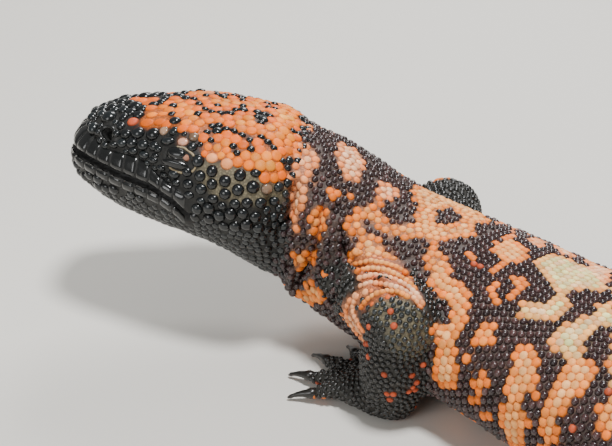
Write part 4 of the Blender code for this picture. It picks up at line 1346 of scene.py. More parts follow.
class Coat:
    """The bead scales: where each stands, and the meshes that join them."""

    # Rows round the trunk and tail: spacing on the back, and how much it grows low down
    BACK_STEP = 2.0
    LOW_GROWTH = 1.3
    LOW_POWER = 1.2
    RING_COUNT = 90
    RING_REACH = 0.05
    LEAST_IN_ROW = 6
    ROW_STEP = 2.02
    ROW_SHARE = 0.9
    ROWS_START = 58.0
    ROWS_END = 1.5
    TAIL_SLIMS = 90.0
    LEAST_SLIM = 0.78
    LEAST_STEP = 0.8
    BELLY_FLAT = 0.4
    BELLY_FACING = -0.55

    # Scattered beads: how many are drawn for each square millimetre, and how they are eased apart
    NECK_DRAWN = 3.0
    HEAD_DRAWN = 2.6
    LIMB_DRAWN = 3.4
    NECK_OVERLAP = 1.05
    NECK_STEP = 1.95
    NECK_GROWTH = 0.4
    NEAREST_ALLOWED = 0.79
    EASE_ROUNDS = 9
    EASE_NEAR = 7
    EASE_ROOM = 1.04
    EASE_SHARE = 0.4
    FOOT_STEP = 1.6
    NEAR_ARM_STEP = 1.72
    LIMB_STEP = 2.05

    # Spacing on the head
    HEAD_STEP = 2.75
    SNOUT_STEP = 3.3
    CHEEK_STEP = 3.4
    THROAT_STEP = 2.15
    FACE_STEP = 2.0
    LID_STEP = 1.6
    NAPE_STEP = 2.4
    SNOUT_START = 44.0
    CHEEK_ENDS = (24.0, 7.0, 9.0)
    FACE_ENDS = (14.0, -1.0, 13.0, 6.0)
    CROWN_ENDS = (46.0, 11.0)
    THROAT_TOP = -7.5
    LIDS_REACH = 7.5
    NAPE_END = 4.0
    THROAT_FLAT = 0.62
    CROWN_FLAT = 0.8

    # Kept clear of scattered beads: lips, nostrils, lids and the named scales
    LIP_CLEAR = 4.6
    GROOVE_CLEAR = 0.2
    CORNER_CLEAR = 0.5
    NOSTRIL_CLEAR = 2.7
    NOSTRIL_OUT = 4.0
    EYE_CLEAR = 6.1
    NAMED_CLEAR = (0.72, 0.3)
    NAMED_SMALL = 1.25
    NAMED_GROWTH = 1.06
    NAMED_ROOM = 1.9
    NAMED_LIGHT_RISE = 0.8
    MIDDLE_SHARE = 0.8
    SCALE_CANT = -6.0

    # Ropes on the shoulder
    ROPE_RADIUS = 0.98
    ROPE_CLEAR = 1.75
    ROPE_SPACING = 2.0
    ROPE_STRETCH = 1.12
    ROPE_RISE = 1.5

    # Beads: their spread of size and where their colours change from rim to crown
    FLOOR_CLEARANCE = 0.00012
    SIZE_SPREAD = 0.07
    BASE_KEPT = 0.5
    CROWN_LEVELS = (0.1, 0.6)
    BASE_LEVEL = 0.3
    # Painted shade: the foot of each bead goes to the skin's gap colour, darkened to this share
    BEAD_FOOT_SHADE = 0.75
    RIM_NEAR = 7
    RIM_WEIGHT = 2.2
    SPOT_FACING = 0.1

    # The bake map: corner and size of each chart, and what part of it one bead takes
    CHARTS = {
        Region.HEAD: (0.02, 0.56, 0.30, 0.40),
        Region.BODY: (0.02, 0.02, 0.96, 0.50),
        Region.NEAR_ARM: (0.36, 0.56, 0.30, 0.40),
        Region.LIMB: (0.70, 0.56, 0.28, 0.40),
    }
    HEAD_LENGTH = 70.0
    LIMB_FROM = (0.11, 0.13)
    LIMB_SPAN = (0.28, 0.30)
    LIMB_RISE = 0.6
    BEAD_ON_MAP = 0.0015

    # Each stretch of the body's beads, with where it ends along the line and how many sides they have
    STRETCHES = (
        ("beads_neck", 44.0, 8), ("beads_shoulders", 80.0, 8), ("beads_trunk_front", 116.0, 8),
        ("beads_trunk_middle", 156.0, 8), ("beads_trunk_rear", 220.0, 7), ("beads_tail", math.inf, 7),
    )
    SIDES_ON_HEAD = 14
    SIDES_ON_NEAR_ARM = 9
    SIDES_ON_LEGS = 6

    def __init__(self, skin: Skin, spine: Spine, head: HeadFrame, markings: Markings) -> None:
        """Keep what the beads stand on."""
        self.skin, self.spine, self.head, self.markings = skin, spine, head, markings
        self.random = np.random.default_rng(SEED)
        self.named: list = []
        self.fixed: list = []

    def slim(self, at: float, least: float) -> float:
        """How much slimmer rows are towards the tail's tip."""
        return min(1.0, max(least, (SPINE_LENGTH - at) / self.TAIL_SLIMS))

    def row(self, at: float, odd: int) -> list[tuple[Vector, Vector, float]]:
        """Find the roots of one row, closer on the back than low down.

        Args:
            at: The row's position along the body.
            odd: One where the row is shifted by half a bead, otherwise nought.

        Returns:
            Each root's place, its way out and its spacing.
        """
        centre, _, left, up = self.spine.frame(at)
        count = self.RING_COUNT
        ring, width = [], []
        for i in range(count):
            turn = math.tau * i / count
            hit = self.skin.surface(centre, left * math.cos(turn) + up * math.sin(turn))
            ring.append(hit[0] if hit and (hit[0] - centre).length < self.RING_REACH else centre)
            width.append(self.BACK_STEP + self.LOW_GROWTH * (0.5 - 0.5 * math.sin(turn)) ** self.LOW_POWER)
        grown = [0.0]
        for i in range(count):
            grown.append(grown[-1] + (ring[(i + 1) % count] - ring[i]).length / MM / width[i])
        number = max(self.LEAST_IN_ROW, round(grown[-1] / self.slim(at, self.LEAST_SLIM)))
        found = []
        for j in range(number):
            want = grown[-1] * ((j + 0.5 * odd) % number) / number
            k = min(int(np.searchsorted(grown, want, side="right")) - 1, count - 1)
            share = (want - grown[k]) / max(grown[k + 1] - grown[k], 1e-9)
            guess = ring[k].lerp(ring[(k + 1) % count], share)
            point, normal, _, _ = self.skin.tree.find_nearest(guess)
            found.append((point, normal, width[k] * grown[-1] / number))
        return found

    def body_roots(self, roots: Roots) -> None:
        """Add rows of beads round the trunk and the tail.

        Args:
            roots: Where the beads' roots are kept.
        """
        at, odd = self.ROWS_START, 0
        while at < SPINE_LENGTH - self.ROWS_END:
            step = self.ROW_STEP * self.slim(at, self.LEAST_STEP)
            row = self.row(at, odd)
            _, forward, _, _ = self.spine.frame(at)
            owners = self.skin.owners(np.array([p for p, _, _ in row]))
            for (point, normal, spacing), owner in zip(row, owners):
                if self.skin.region_of(owner) != Region.BODY:
                    continue
                flat = self.BELLY_FLAT if normal.z < self.BELLY_FACING else 1.0
                pitch = step / self.ROW_SHARE
                size = math.sqrt(pitch * spacing)
                roots.add(point, normal, forward, size, Region.BODY, math.sqrt(pitch / spacing), None, flat)
            at += step
            odd = 1 - odd

    def neck_roots(self, roots: Roots) -> None:
        """Add close beads on the neck, where rows would crowd in the bend.

        Args:
            roots: Where the beads' roots are kept.
        """
        centre, forward, _, _ = self.spine.frame(self.ROWS_START)

        def clear(places: np.ndarray, eased: bool) -> np.ndarray:
            """Only the neck, as far as the first row."""
            return (places - np.array(centre)) @ np.array(forward) < self.NECK_OVERLAP * MM

        def space(places: np.ndarray) -> np.ndarray:
            """Beads stand closer on top than low down."""
            turn = self.spine.turn(places, self.spine.nearest(places))
            return self.NECK_STEP + self.NECK_GROWTH * (0.5 - 0.5 * np.sin(turn))

        for place, spacing in self.scattered((Region.BODY,), space, clear, self.NECK_DRAWN):
            point, normal, _, _ = self.skin.tree.find_nearest(Vector(place))
            roots.add(point, normal, self.head.forward, spacing, Region.BODY)

    def head_spacing(self, local: np.ndarray) -> np.ndarray:
        """Say how far apart beads stand on the head.

        Args:
            local: Places in the head's frame, in millimetres.

        Returns:
            The distance to the next bead at each, in millimetres.
        """
        f, l, u = local.T
        side = np.abs(l)
        ahead, high, out = self.CHEEK_ENDS
        cheek = (f < ahead) & (u < high) & (side > out)
        behind, low, high, out = self.FACE_ENDS
        face = (u < high) & (u > low) & (f > behind) & (side > out)
        rules = (
            (f > self.SNOUT_START, self.SNOUT_STEP), (cheek, self.CHEEK_STEP),
            (u < self.THROAT_TOP, self.THROAT_STEP), (face, self.FACE_STEP),
            (self.head.from_eyes(local) < self.LIDS_REACH, self.LID_STEP),
            (f < self.NAPE_END, self.NAPE_STEP),
        )
        space = np.full(len(local), self.HEAD_STEP)
        for where, step in rules:
            space[where] = step
        return space

    def kept_clear(self, local: np.ndarray, margin: float) -> np.ndarray:
        """Say which places of the head have no scattered beads.

        Args:
            local: Places in the head's frame, in millimetres.
            margin: How far beads stay from the smallest named scales.

        Returns:
            True where lips, lids, nostrils and the named scales lie.
        """
        f, l, u = local.T
        low = curve(MOUTH_LINE, f) - self.LIP_CLEAR
        high = curve(LIP_GROOVE_LINE, f) - self.GROOVE_CLEAR
        clear = (f > MOUTH_CORNER - self.CORNER_CLEAR) & (u > low) & (u < high)
        clear |= (self.head.from_nostril(local) < self.NOSTRIL_CLEAR) & (np.abs(l) > self.NOSTRIL_OUT)
        clear |= self.head.from_eyes(local) < self.EYE_CLEAR
        folded = np.stack((f, np.abs(l), u), 1)
        for place, radius in self.named:
            room = margin if radius < self.NAMED_SMALL else self.NAMED_CLEAR[0]
            clear |= np.linalg.norm(folded - place, axis=1) < radius + room
        return clear

    def named_roots(self, roots: Roots) -> None:
        """Add the large scales of the snout, cheek and brow, each at its place in the picture, on both sides.

        Args:
            roots: Where the beads' roots are kept.
        """
        view = self.markings.viewpoint
        cant = math.radians(self.SCALE_CANT)
        along = self.head.forward * math.cos(cant) + self.head.up * math.sin(cant)
        for scale in named_scales():
            hit, normal, _, gap = self.skin.tree.ray_cast(*view.ray(scale.centre))
            if hit is None:
                continue
            local = self.head.local(np.array([hit]))[0]
            lean = self.head.axes @ np.array(normal)
            size = gap / view.pixels_per_unit / MM
            radius = math.sqrt(scale.along * scale.across) * size * self.NAMED_GROWTH
            self.named.append((local * (1, np.sign(local[1]), 1), radius))
            stretch = math.sqrt(scale.along / scale.across)
            rise = 1.0 if scale.shade == Shade.HEAD_DARK else self.NAMED_LIGHT_RISE
            room = radius * self.NAMED_ROOM
            for side in (1, -1):
                if side == -1 and abs(local[1]) < radius * self.MIDDLE_SHARE:
                    continue
                spot = self.head.place(local[0], local[1] * side, local[2])
                point, _, _, _ = self.skin.tree.find_nearest(spot)
                self.fixed.append((*point, room))
                out = Vector(np.array((lean[0], lean[1] * side, lean[2])) @ self.head.axes)
                roots.add(point, out, along, room, Region.HEAD, stretch, scale.shade, rise, radius)

    def scattered(
        self, region: tuple[Region, ...], spacing_of: Callable, clear_of: Callable, drawn: float,
    ) -> list[tuple[np.ndarray, float]]:
        """Find close, even places on part of the skin: draw many, thin them out, then ease them apart.

        Args:
            region: The stretches of the animal that they are on.
            spacing_of: Gives the distance to the next bead at places.
            clear_of: Says which places are left out, before or after they are eased.
            drawn: How many are drawn for each square millimetre.

        Returns:
            Each place, with its spacing.
        """
        mesh = self.skin.mesh
        mesh.calc_loop_triangles()
        tris = np.empty(len(mesh.loop_triangles) * 3, np.int32)
        mesh.loop_triangles.foreach_get("vertices", tris)
        corners = self.skin.points()[tris.reshape(-1, 3)]
        regions = np.array([self.skin.region_of(n) for n in self.skin.owners(corners.mean(1))])
        corners = corners[np.isin(regions, [int(r) for r in region])]
        across = np.cross(corners[:, 1] - corners[:, 0], corners[:, 2] - corners[:, 0])
        areas = np.linalg.norm(across, axis=1) / 2
        wanted = int(areas.sum() / MM**2 * drawn)
        pick = self.random.choice(len(areas), wanted, p=areas / areas.sum())
        a, b = np.sqrt(self.random.random(wanted)), self.random.random(wanted)
        t = corners[pick]
        places = t[:, 0] * (1 - a)[:, None] + t[:, 1] * (a * (1 - b))[:, None] + t[:, 2] * (a * b)[:, None]
        places = places[~clear_of(places, False)]
        spacing = spacing_of(places)
        tree = finder_of(places)
        blocked = np.zeros(len(places), bool)
        chosen = []
        for i, place in enumerate(places):
            if blocked[i]:
                continue
            chosen.append(i)
            for _, j, _ in tree.find_range(place, spacing[i] * self.NEAREST_ALLOWED * MM):
                blocked[j] = True
        kept, spacing = places[chosen], spacing[chosen]
        for _ in range(self.EASE_ROUNDS):
            kept = self.eased(kept, spacing)
        kept = kept[~clear_of(kept, True)]
        return list(zip(kept, spacing_of(kept)))

    def eased(self, places: np.ndarray, spacing: np.ndarray) -> np.ndarray:
        """Push places apart where they crowd or come near a fixed scale, and set them back on the skin.

        Args:
            places: The places, in metres.
            spacing: How far each should be from the next, in millimetres.

        Returns:
            The places after one push.
        """
        fixed = np.array(self.fixed).reshape(-1, 4)
        tree = finder_of(np.vstack((places, fixed[:, :3])))
        room = np.concatenate((spacing, fixed[:, 3]))
        moved = places.copy()
        for i, place in enumerate(places):
            here = Vector(place)
            shove = Vector((0, 0, 0))
            for other, j, gap in tree.find_n(here, self.EASE_NEAR):
                want = 0.5 * (spacing[i] + room[j]) * MM * self.EASE_ROOM
                if j != i and 1e-9 < gap < want:
                    shove += (here - other) / gap * (want - gap) * self.EASE_SHARE
            moved[i], _, _, _ = self.skin.tree.find_nearest(here + shove)
        return moved

    def head_roots(self, roots: Roots) -> None:
        """Add the beads of the crown, snout, cheeks and throat.

        Args:
            roots: Where the beads' roots are kept.
        """

        def clear(places: np.ndarray, eased: bool) -> np.ndarray:
            """Which places are kept clear, with a wide margin at first and a narrow one in the end."""
            return self.kept_clear(self.head.local(places), self.NAMED_CLEAR[eased])

        def space(places: np.ndarray) -> np.ndarray:
            """How far apart beads stand."""
            return self.head_spacing(self.head.local(places))

        self.named_roots(roots)
        for place, spacing in self.scattered((Region.HEAD,), space, clear, self.HEAD_DRAWN):
            point, normal, _, _ = self.skin.tree.find_nearest(Vector(place))
            ahead, _, high = self.head.local(np.array([place]))[0]
            front, low = self.CROWN_ENDS
            flat = self.CROWN_FLAT if high > low and ahead < front else 1.0
            flat = self.THROAT_FLAT if high < self.THROAT_TOP else flat
            roots.add(point, normal, self.head.forward, spacing, Region.HEAD, flat=flat)

    def limb_roots(self, roots: Roots) -> None:
        """Add the beads of the legs and toes, smaller on the feet.

        Args:
            roots: Where the beads' roots are kept.
        """

        def clear(places: np.ndarray, eased: bool) -> np.ndarray:
            """Nothing is kept clear on the legs."""
            return np.zeros(len(places), bool)

        def space(places: np.ndarray) -> np.ndarray:
            """Beads stand closer on the feet and on the near arm."""
            owners = self.skin.owners(places)
            near = np.array([self.skin.region_of(n) == Region.NEAR_ARM for n in owners])
            legs = np.where(near, self.NEAR_ARM_STEP, self.LIMB_STEP)
            return np.where(self.skin.feet(owners), self.FOOT_STEP, legs)

        for place, spacing in self.scattered((Region.NEAR_ARM, Region.LIMB), space, clear, self.LIMB_DRAWN):
            point, normal, _, _ = self.skin.tree.find_nearest(Vector(place))
            owner = self.skin.owners(np.array([place]))[0]
            along = Vector((0, 0, 1)).cross(normal)
            along = along.normalized() if along.length > 1e-3 else Vector((1, 0, 0))
            roots.add(point, normal, along, spacing, self.skin.region_of(owner))

    def rope_roots(self, roots: Roots) -> None:
        """Add rows of beads along the folds of the shoulder, and drop the other beads near them.

        Args:
            roots: Where the beads' roots are kept.
        """
        view = self.markings.viewpoint
        ropes = []
        for rope in ROPES:
            corners = np.array(rope.line, float)
            run = np.concatenate(((0.0,), np.cumsum(np.linalg.norm(np.diff(corners, axis=0), axis=1))))
            hits = []
            for far in np.arange(0.0, run[-1], ROPE_STEP):
                picture = tuple(float(np.interp(far, run, corners[:, k])) for k in range(2))
                hit, normal, _, _ = self.skin.tree.ray_cast(*view.ray(picture))
                if hit is not None:
                    hits.append((hit, normal))
            for k, (point, normal) in enumerate(hits):
                along = hits[min(k + 1, len(hits) - 1)][0] - hits[max(k - 1, 0)][0]
                ropes.append((point, normal, along, rope.shade))
        tree = finder_of([point for point, _, _, _ in ropes])
        roots.keep(np.array([tree.find(Vector(p))[2] > self.ROPE_CLEAR * MM for p in roots.points]))
        for point, normal, along, shade in ropes:
            roots.add(
                point, normal, along, self.ROPE_SPACING, Region.BODY, self.ROPE_STRETCH, shade,
                self.ROPE_RISE, self.ROPE_RADIUS,
            )

    def chart(self, points: np.ndarray, regions: np.ndarray) -> np.ndarray:
        """Lay roots on an unwrap of the skin's own shape.

        Args:
            points: The roots' places, in metres.
            regions: The stretch of the animal that each belongs to.

        Returns:
            Where each lies on the bake map, from 0 to 1 across and up.
        """
        index = self.spine.nearest(points)
        turn = self.spine.turn(points, index) / math.tau + 0.5
        places = np.stack((self.spine.at[index] / SPINE_LENGTH, turn), 1)
        heads = regions == Region.HEAD
        local = self.head.local(points[heads])
        places[heads, 0] = np.clip(local[:, 0] / self.HEAD_LENGTH, 0, 1)
        places[heads, 1] = np.arctan2(local[:, 2], local[:, 1]) / math.tau + 0.5
        limbs = np.isin(regions, [int(Region.LIMB), int(Region.NEAR_ARM)])
        x, y, z = points[limbs].T
        places[limbs, 0] = ramp(x, -self.LIMB_FROM[0], self.LIMB_SPAN[0])
        places[limbs, 1] = ramp(y + self.LIMB_RISE * z, -self.LIMB_FROM[1], self.LIMB_SPAN[1])
        charts = np.array([self.CHARTS[Region(r)] for r in regions])
        return charts[:, :2] + places * charts[:, 2:]

    def colours(self, shades: np.ndarray, levels: np.ndarray, rim: np.ndarray) -> np.ndarray:
        """Colour every point of every bead, with painted shade at its foot.

        Args:
            shades: Each bead's marking.
            levels: How high each point of a bead is, from its foot to its top.
            rim: How near each bead is to the edge of a light patch, from 0 to 1.

        Returns:
            The renderer's colours by bead and point.
        """
        kinds = [TONES[Shade(s)] for s in shades]
        crown, other, edge, gap = (
            np.array([getattr(kind, name) for kind in kinds], float)
            for name in ("crown", "other_crown", "rim", "gap")
        )
        blend = self.random.random(len(shades))[:, None]
        crown = crown * (1 - blend) + other * blend
        tone = 1.0 + np.array([kind.vary for kind in kinds]) * self.random.uniform(-1, 1, len(shades))
        crown = (crown * (1 - rim[:, None]) + edge * rim[:, None]) * tone[:, None]
        edge = crown * self.BASE_KEPT + edge * (1 - self.BASE_KEPT)
        top = ramp(levels, *self.CROWN_LEVELS)[None, :, None]
        base = np.clip(levels / self.BASE_LEVEL, 0, 1)[None, :, None]
        mixed = edge[:, None, :] * (1 - top) + crown[:, None, :] * top
        # Painted shade: each bead's foot fades to the gap colour, darkened, where it meets the skin
        mixed = (gap * self.BEAD_FOOT_SHADE)[:, None, :] * (1 - base) + mixed * base
        return linear(mixed)

    def mesh_of(self, name: str, chosen: Roots, shape: BeadShape, shades: np.ndarray, rim: np.ndarray,
                finishes: list[bpy.types.Material]) -> None:
        """Join beads into one mesh with their colours and their bake map.

        Args:
            name: The piece's name.
            chosen: The roots of its beads.
            shape: One bead's mesh.
            shades: Each bead's marking.
            rim: How near each is to the edge of a light patch.
            finishes: The materials of dark beads and of light ones.
        """
        template, faces = shape.arrays()
        points, normals, along = (np.array(rows) for rows in (chosen.points, chosen.normals, chosen.along))
        sizes = (chosen.spacing, chosen.stretch, chosen.radius)
        spacing, stretch, radius = (np.array(rows) for rows in sizes)
        kinds = [TONES[Shade(s)] for s in shades]
        width = np.where(radius > 0, radius, np.array([kind.width for kind in kinds]) * spacing) * MM
        rise = np.array([kind.rise for kind in kinds]) * spacing * np.array(chosen.flat) * MM
        grow = self.random.uniform(1 - self.SIZE_SPREAD, 1 + self.SIZE_SPREAD, len(shades))
        along = along - normals * (along * normals).sum(1, keepdims=True)
        along /= np.maximum(np.linalg.norm(along, axis=1, keepdims=True), 1e-9)
        verts = points[:, None, :]
        sizes = (width * grow * stretch, width * grow / stretch, rise * grow)
        for k, (size, way) in enumerate(zip(sizes, (along, np.cross(normals, along), normals))):
            verts = verts + template[:, k][None, :, None] * size[:, None, None] * way[:, None, :]
        verts = verts.reshape(-1, 3)
        verts[:, 2] = np.maximum(verts[:, 2], self.FLOOR_CLEARANCE)
        starts = np.arange(len(shades)) * len(template)
        tris = (faces[None, :, :] + starts[:, None, None]).reshape(-1, 3)
        mesh = bpy.data.meshes.new(name)
        mesh.vertices.add(len(verts))
        mesh.vertices.foreach_set("co", verts.astype(np.float32).ravel())
        mesh.loops.add(len(tris) * 3)
        mesh.loops.foreach_set("vertex_index", tris.astype(np.int32).ravel())
        mesh.polygons.add(len(tris))
        mesh.polygons.foreach_set("loop_start", np.arange(0, len(tris) * 3, 3, dtype=np.int32))
        mesh.update(calc_edges=True)
        tint(mesh, self.colours(shades, template[:, 2], rim).reshape(-1, 3))
        places = self.chart(points, np.array(chosen.region))
        uv = (places[:, None, :] + template[None, :, :2] * self.BEAD_ON_MAP).reshape(-1, 2)[tris.ravel()]
        mesh.uv_layers.new(name="OFBake").data.foreach_set("uv", uv.astype(np.float32).ravel())
        for finish in finishes:
            mesh.materials.append(finish)
        light = np.isin(shades, [int(s) for s in LIGHT_SHADES]).astype(np.int32)
        mesh.polygons.foreach_set("material_index", np.repeat(light, len(faces)))
        mesh.shade_smooth()
        thing = linked(name, mesh)
        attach(thing, BODY)
        log.info("%s: %d beads, %d triangles", name, len(shades), len(tris))

    def rims(self, roots: Roots, shades: np.ndarray) -> np.ndarray:
        """Say how near each light bead is to a dark one.

        Args:
            roots: The beads' roots.
            shades: Each bead's marking.

        Returns:
            One for a light bead among dark ones, less for one further in, and nought for a dark one.
        """
        tree = finder_of(roots.points)
        light = np.isin(shades, [int(s) for s in LIGHT_SHADES])
        rim = np.zeros(len(shades))
        for i in np.flatnonzero(light):
            near = [j for _, j, _ in tree.find_n(roots.points[i], self.RIM_NEAR)]
            rim[i] = min(1.0, self.RIM_WEIGHT * sum(not light[j] for j in near) / self.RIM_NEAR)
        return rim

    def set_spots(self, roots: Roots, shades: np.ndarray) -> None:
        """Give each spot of the near arm to the one bead nearest to it in the picture, at the spot's size.

        Args:
            roots: The beads' roots, whose sizes are set.
            shades: Each bead's marking, which is set too.
        """
        view = self.markings.viewpoint
        points, normals = np.array(roots.points), np.array(roots.normals)
        picture = view.project(points)
        picture[view.facing(points, normals) < self.SPOT_FACING] = np.inf
        picture[np.array(roots.region) != Region.NEAR_ARM] = np.inf
        for centre in ARM_SPOTS:
            best = int(np.linalg.norm(picture - centre, axis=1).argmin())
            shades[best] = Shade.RUST
            roots.radius[best] = ARM_SPOT_RADIUS * view.distance / view.pixels_per_unit / MM

    def build(self, finishes: "tuple[BeadFinish, BeadFinish]", eyes: "Eyes") -> None:
        """Place every bead and join them in pieces.

        Args:
            finishes: How dark beads look, then how light ones look.
            eyes: The eyes, whose lids carry scales too.
        """
        roots = Roots()
        self.body_roots(roots)
        self.neck_roots(roots)
        self.head_roots(roots)
        eyes.lid_roots(self.head, roots)
        self.limb_roots(roots)
        self.rope_roots(roots)
        points, regions, shades = (np.array(rows) for rows in (roots.points, roots.region, roots.shade))
        read = self.markings.read(points, np.array(roots.normals), regions)
        shades = np.where(shades < 0, read, shades)
        self.set_spots(roots, shades)
        rim = self.rims(roots, shades)
        log.info("%d beads", len(points))
        materials = [finish.build() for finish in finishes]
        at = self.spine.at[self.spine.nearest(points)]
        pieces = [("beads_head", regions == Region.HEAD, self.SIDES_ON_HEAD)]
        start = -math.inf
        for name, end, sides in self.STRETCHES:
            pieces.append((name, (regions == Region.BODY) & (at >= start) & (at < end), sides))
            start = end
        pieces.append(("beads_near_arm", regions == Region.NEAR_ARM, self.SIDES_ON_NEAR_ARM))
        pieces.append(("beads_legs", regions == Region.LIMB, self.SIDES_ON_LEGS))
        for name, where, sides in pieces:
            self.mesh_of(name, roots.only(where), BeadShape(sides), shades[where], rim[where], materials)


def new_material(name: str) -> tuple[bpy.types.Material, "Wiring"]:
    """A node material, with the hand that wires it."""
    made = bpy.data.materials.new(name)
    made.use_nodes = True
    return made, Wiring(made.node_tree)


class Wiring:
    """Adds and joins the nodes of one material."""

    def __init__(self, tree: bpy.types.NodeTree) -> None:
        """Keep the material's nodes and its shader."""
        self.tree = tree
        self.shader = tree.nodes["Principled BSDF"]

    def node(self, kind: str, values: dict[str, float] | None = None) -> bpy.types.Node:
        """A new node with the values of its sockets set."""
        made = self.tree.nodes.new("ShaderNode" + kind)
        for socket, value in (values or {}).items():
            made.inputs[socket].default_value = value
        return made

    def join(self, out: bpy.types.NodeSocket, node: bpy.types.Node, socket: str) -> None:
        """Join an output to a node's socket."""
        self.tree.links.new(out, node.inputs[socket])

    def pattern(self, kind: str, values: dict[str, float]) -> bpy.types.Node:
        """A pattern that stays on the object."""
        made = self.node(kind, values)
        self.join(self.node("TexCoord").outputs["Object"], made, "Vector")
        return made

    def tinted(self, level: bpy.types.NodeSocket, values: dict[str, float]) -> None:
        """Colour the shader by the mesh's own tint, made lighter and darker by a pattern.

        Args:
            level: The pattern's output.
            values: How the pattern's levels become shares of the tint.
        """
        tint_of = self.node("Attribute")
        tint_of.attribute_name = "Tint"
        share = self.node("MapRange", values)
        self.join(level, share, "Value")
        mix = self.node("Mix", {"Factor": 1.0})
        mix.data_type, mix.blend_type = "RGBA", "MULTIPLY"
        self.join(tint_of.outputs["Color"], mix, "A")
        self.join(share.outputs["Result"], mix, "B")
        self.join(mix.outputs["Result"], self.shader, "Base Color")

    def bumped(self, level: bpy.types.NodeSocket, strength: float, invert: bool = False) -> None:
        """Roughen the surface by a pattern.

        Args:
            level: The pattern's output.
            strength: How strong the bumps are.
            invert: Whether high levels go in.
        """
        bump = self.node("Bump", {"Strength": strength, "Distance": BUMP_DEPTH})
        bump.invert = invert
        self.join(level, bump, "Height")
        self.join(bump.outputs["Normal"], self.shader, "Normal")


@dataclass(frozen=True)
class SkinFinish:
    """The skin between the beads: dull, with fine grains."""

    grain_scale: float = 1500.0
    grain_reach: float = 0.55
    lightest: float = 1.15
    darkest: float = 0.45
    roughness: float = 0.62
    bump: float = 0.5

    def build(self) -> bpy.types.Material:
        """Make the material."""
        made, wiring = new_material("skin_between_beads")
        grain = wiring.pattern("TexVoronoi", {"Scale": self.grain_scale}).outputs["Distance"]
        wiring.tinted(grain, {"From Max": self.grain_reach, "To Min": self.lightest, "To Max": self.darkest})
        wiring.bumped(grain, self.bump, True)
        wiring.shader.inputs["Roughness"].default_value = self.roughness
        return made


@dataclass(frozen=True)
class BeadFinish:
    """One sort of beads: waxy where light, glossy where dark."""

    name: str
    roughness: float
    gloss: float
    mottle_scale: float = 420.0
    detail: float = 4.0
    levels: tuple[float, float] = (0.3, 0.7)
    shares: tuple[float, float] = (0.82, 1.12)
    rough_spread: float = 0.06
    bump: float = 0.25

    def build(self) -> bpy.types.Material:
        """Make the material."""
        made, wiring = new_material(self.name)
        noise_of = wiring.pattern("TexNoise", {"Scale": self.mottle_scale, "Detail": self.detail})
        mottle = noise_of.outputs["Fac"]
        wiring.tinted(mottle, {
            "From Min": self.levels[0], "From Max": self.levels[1],
            "To Min": self.shares[0], "To Max": self.shares[1],
        })
        rough = wiring.node("MapRange", {
            "To Min": self.roughness - self.rough_spread, "To Max": self.roughness + self.rough_spread,
        })
        wiring.join(mottle, rough, "Value")
        wiring.join(rough.outputs["Result"], wiring.shader, "Roughness")
        wiring.shader.inputs["Specular IOR Level"].default_value = self.gloss
        wiring.bumped(mottle, self.bump)
        return made


@dataclass(frozen=True)
class PlainFinish:
    """A finish of one colour with a faint streak: eyes, claws, lids or floor."""

    name: str
    colour: Colour
    roughness: float
    coat: float = 0.0
    streak: float = 0.15
    scale: float = 300.0

    def build(self) -> bpy.types.Material:
        """Make the material."""
        made, wiring = new_material(self.name)
        cloud = wiring.pattern("TexNoise", {"Scale": self.scale})
        ramped = wiring.node("ValToRGB")
        base = linear(np.array(self.colour))
        ends = ramped.color_ramp.elements
        ends[0].color = (*(base * (1 - self.streak)), 1.0)
        ends[1].color = (*(base * (1 + self.streak)), 1.0)
        wiring.join(cloud.outputs["Fac"], ramped, "Fac")
        wiring.join(ramped.outputs["Color"], wiring.shader, "Base Color")
        wiring.shader.inputs["Roughness"].default_value = self.roughness
        wiring.shader.inputs["Coat Weight"].default_value = self.coat
        return made


def add_piece(name: str, bm: bmesh.types.BMesh, material: bpy.types.Material) -> bpy.types.Object:
    """Put a finished mesh in the scene, riding on the animal.

    Args:
        name: The piece's name.
        bm: Its working mesh.
        material: Its material.

    Returns:
        The piece.
    """
    mesh = finished(name, bm)
    mesh.materials.append(material)
    mesh.shade_smooth()
    thing = linked(name, mesh)
    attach(thing, BODY)
    return thing


def add_ring(name: str, hits: list, radius: float, material: bpy.types.Material) -> None:
    """Make a closed ring of even tube through places on the skin.

    Args:
        name: The piece's name.
        hits: The ring's places in order, each with its way out.
        radius: The tube's radius in millimetres.
        material: Its material.
    """
    bm = bmesh.new()
    rings = []
    for i, (place, out, *_) in enumerate(hits):
        run = (hits[(i + 1) % len(hits)][0] - hits[i - 1][0]).normalized()
        across = run.cross(out).normalized()
        ring = []
        for k in range(TUBE_SIDES):
            turn = math.tau * k / TUBE_SIDES
            ring.append(bm.verts.new(place + (across * math.cos(turn) + out * math.sin(turn)) * radius * MM))
        rings.append(ring)
    for i, ring in enumerate(rings):
        after = rings[(i + 1) % len(rings)]
        for k in range(TUBE_SIDES):
            beside = (k + 1) % TUBE_SIDES
            bm.faces.new((ring[k], after[k], after[beside], ring[beside]))
    bmesh.ops.recalc_face_normals(bm, faces=bm.faces)
    add_piece(name, bm, material)


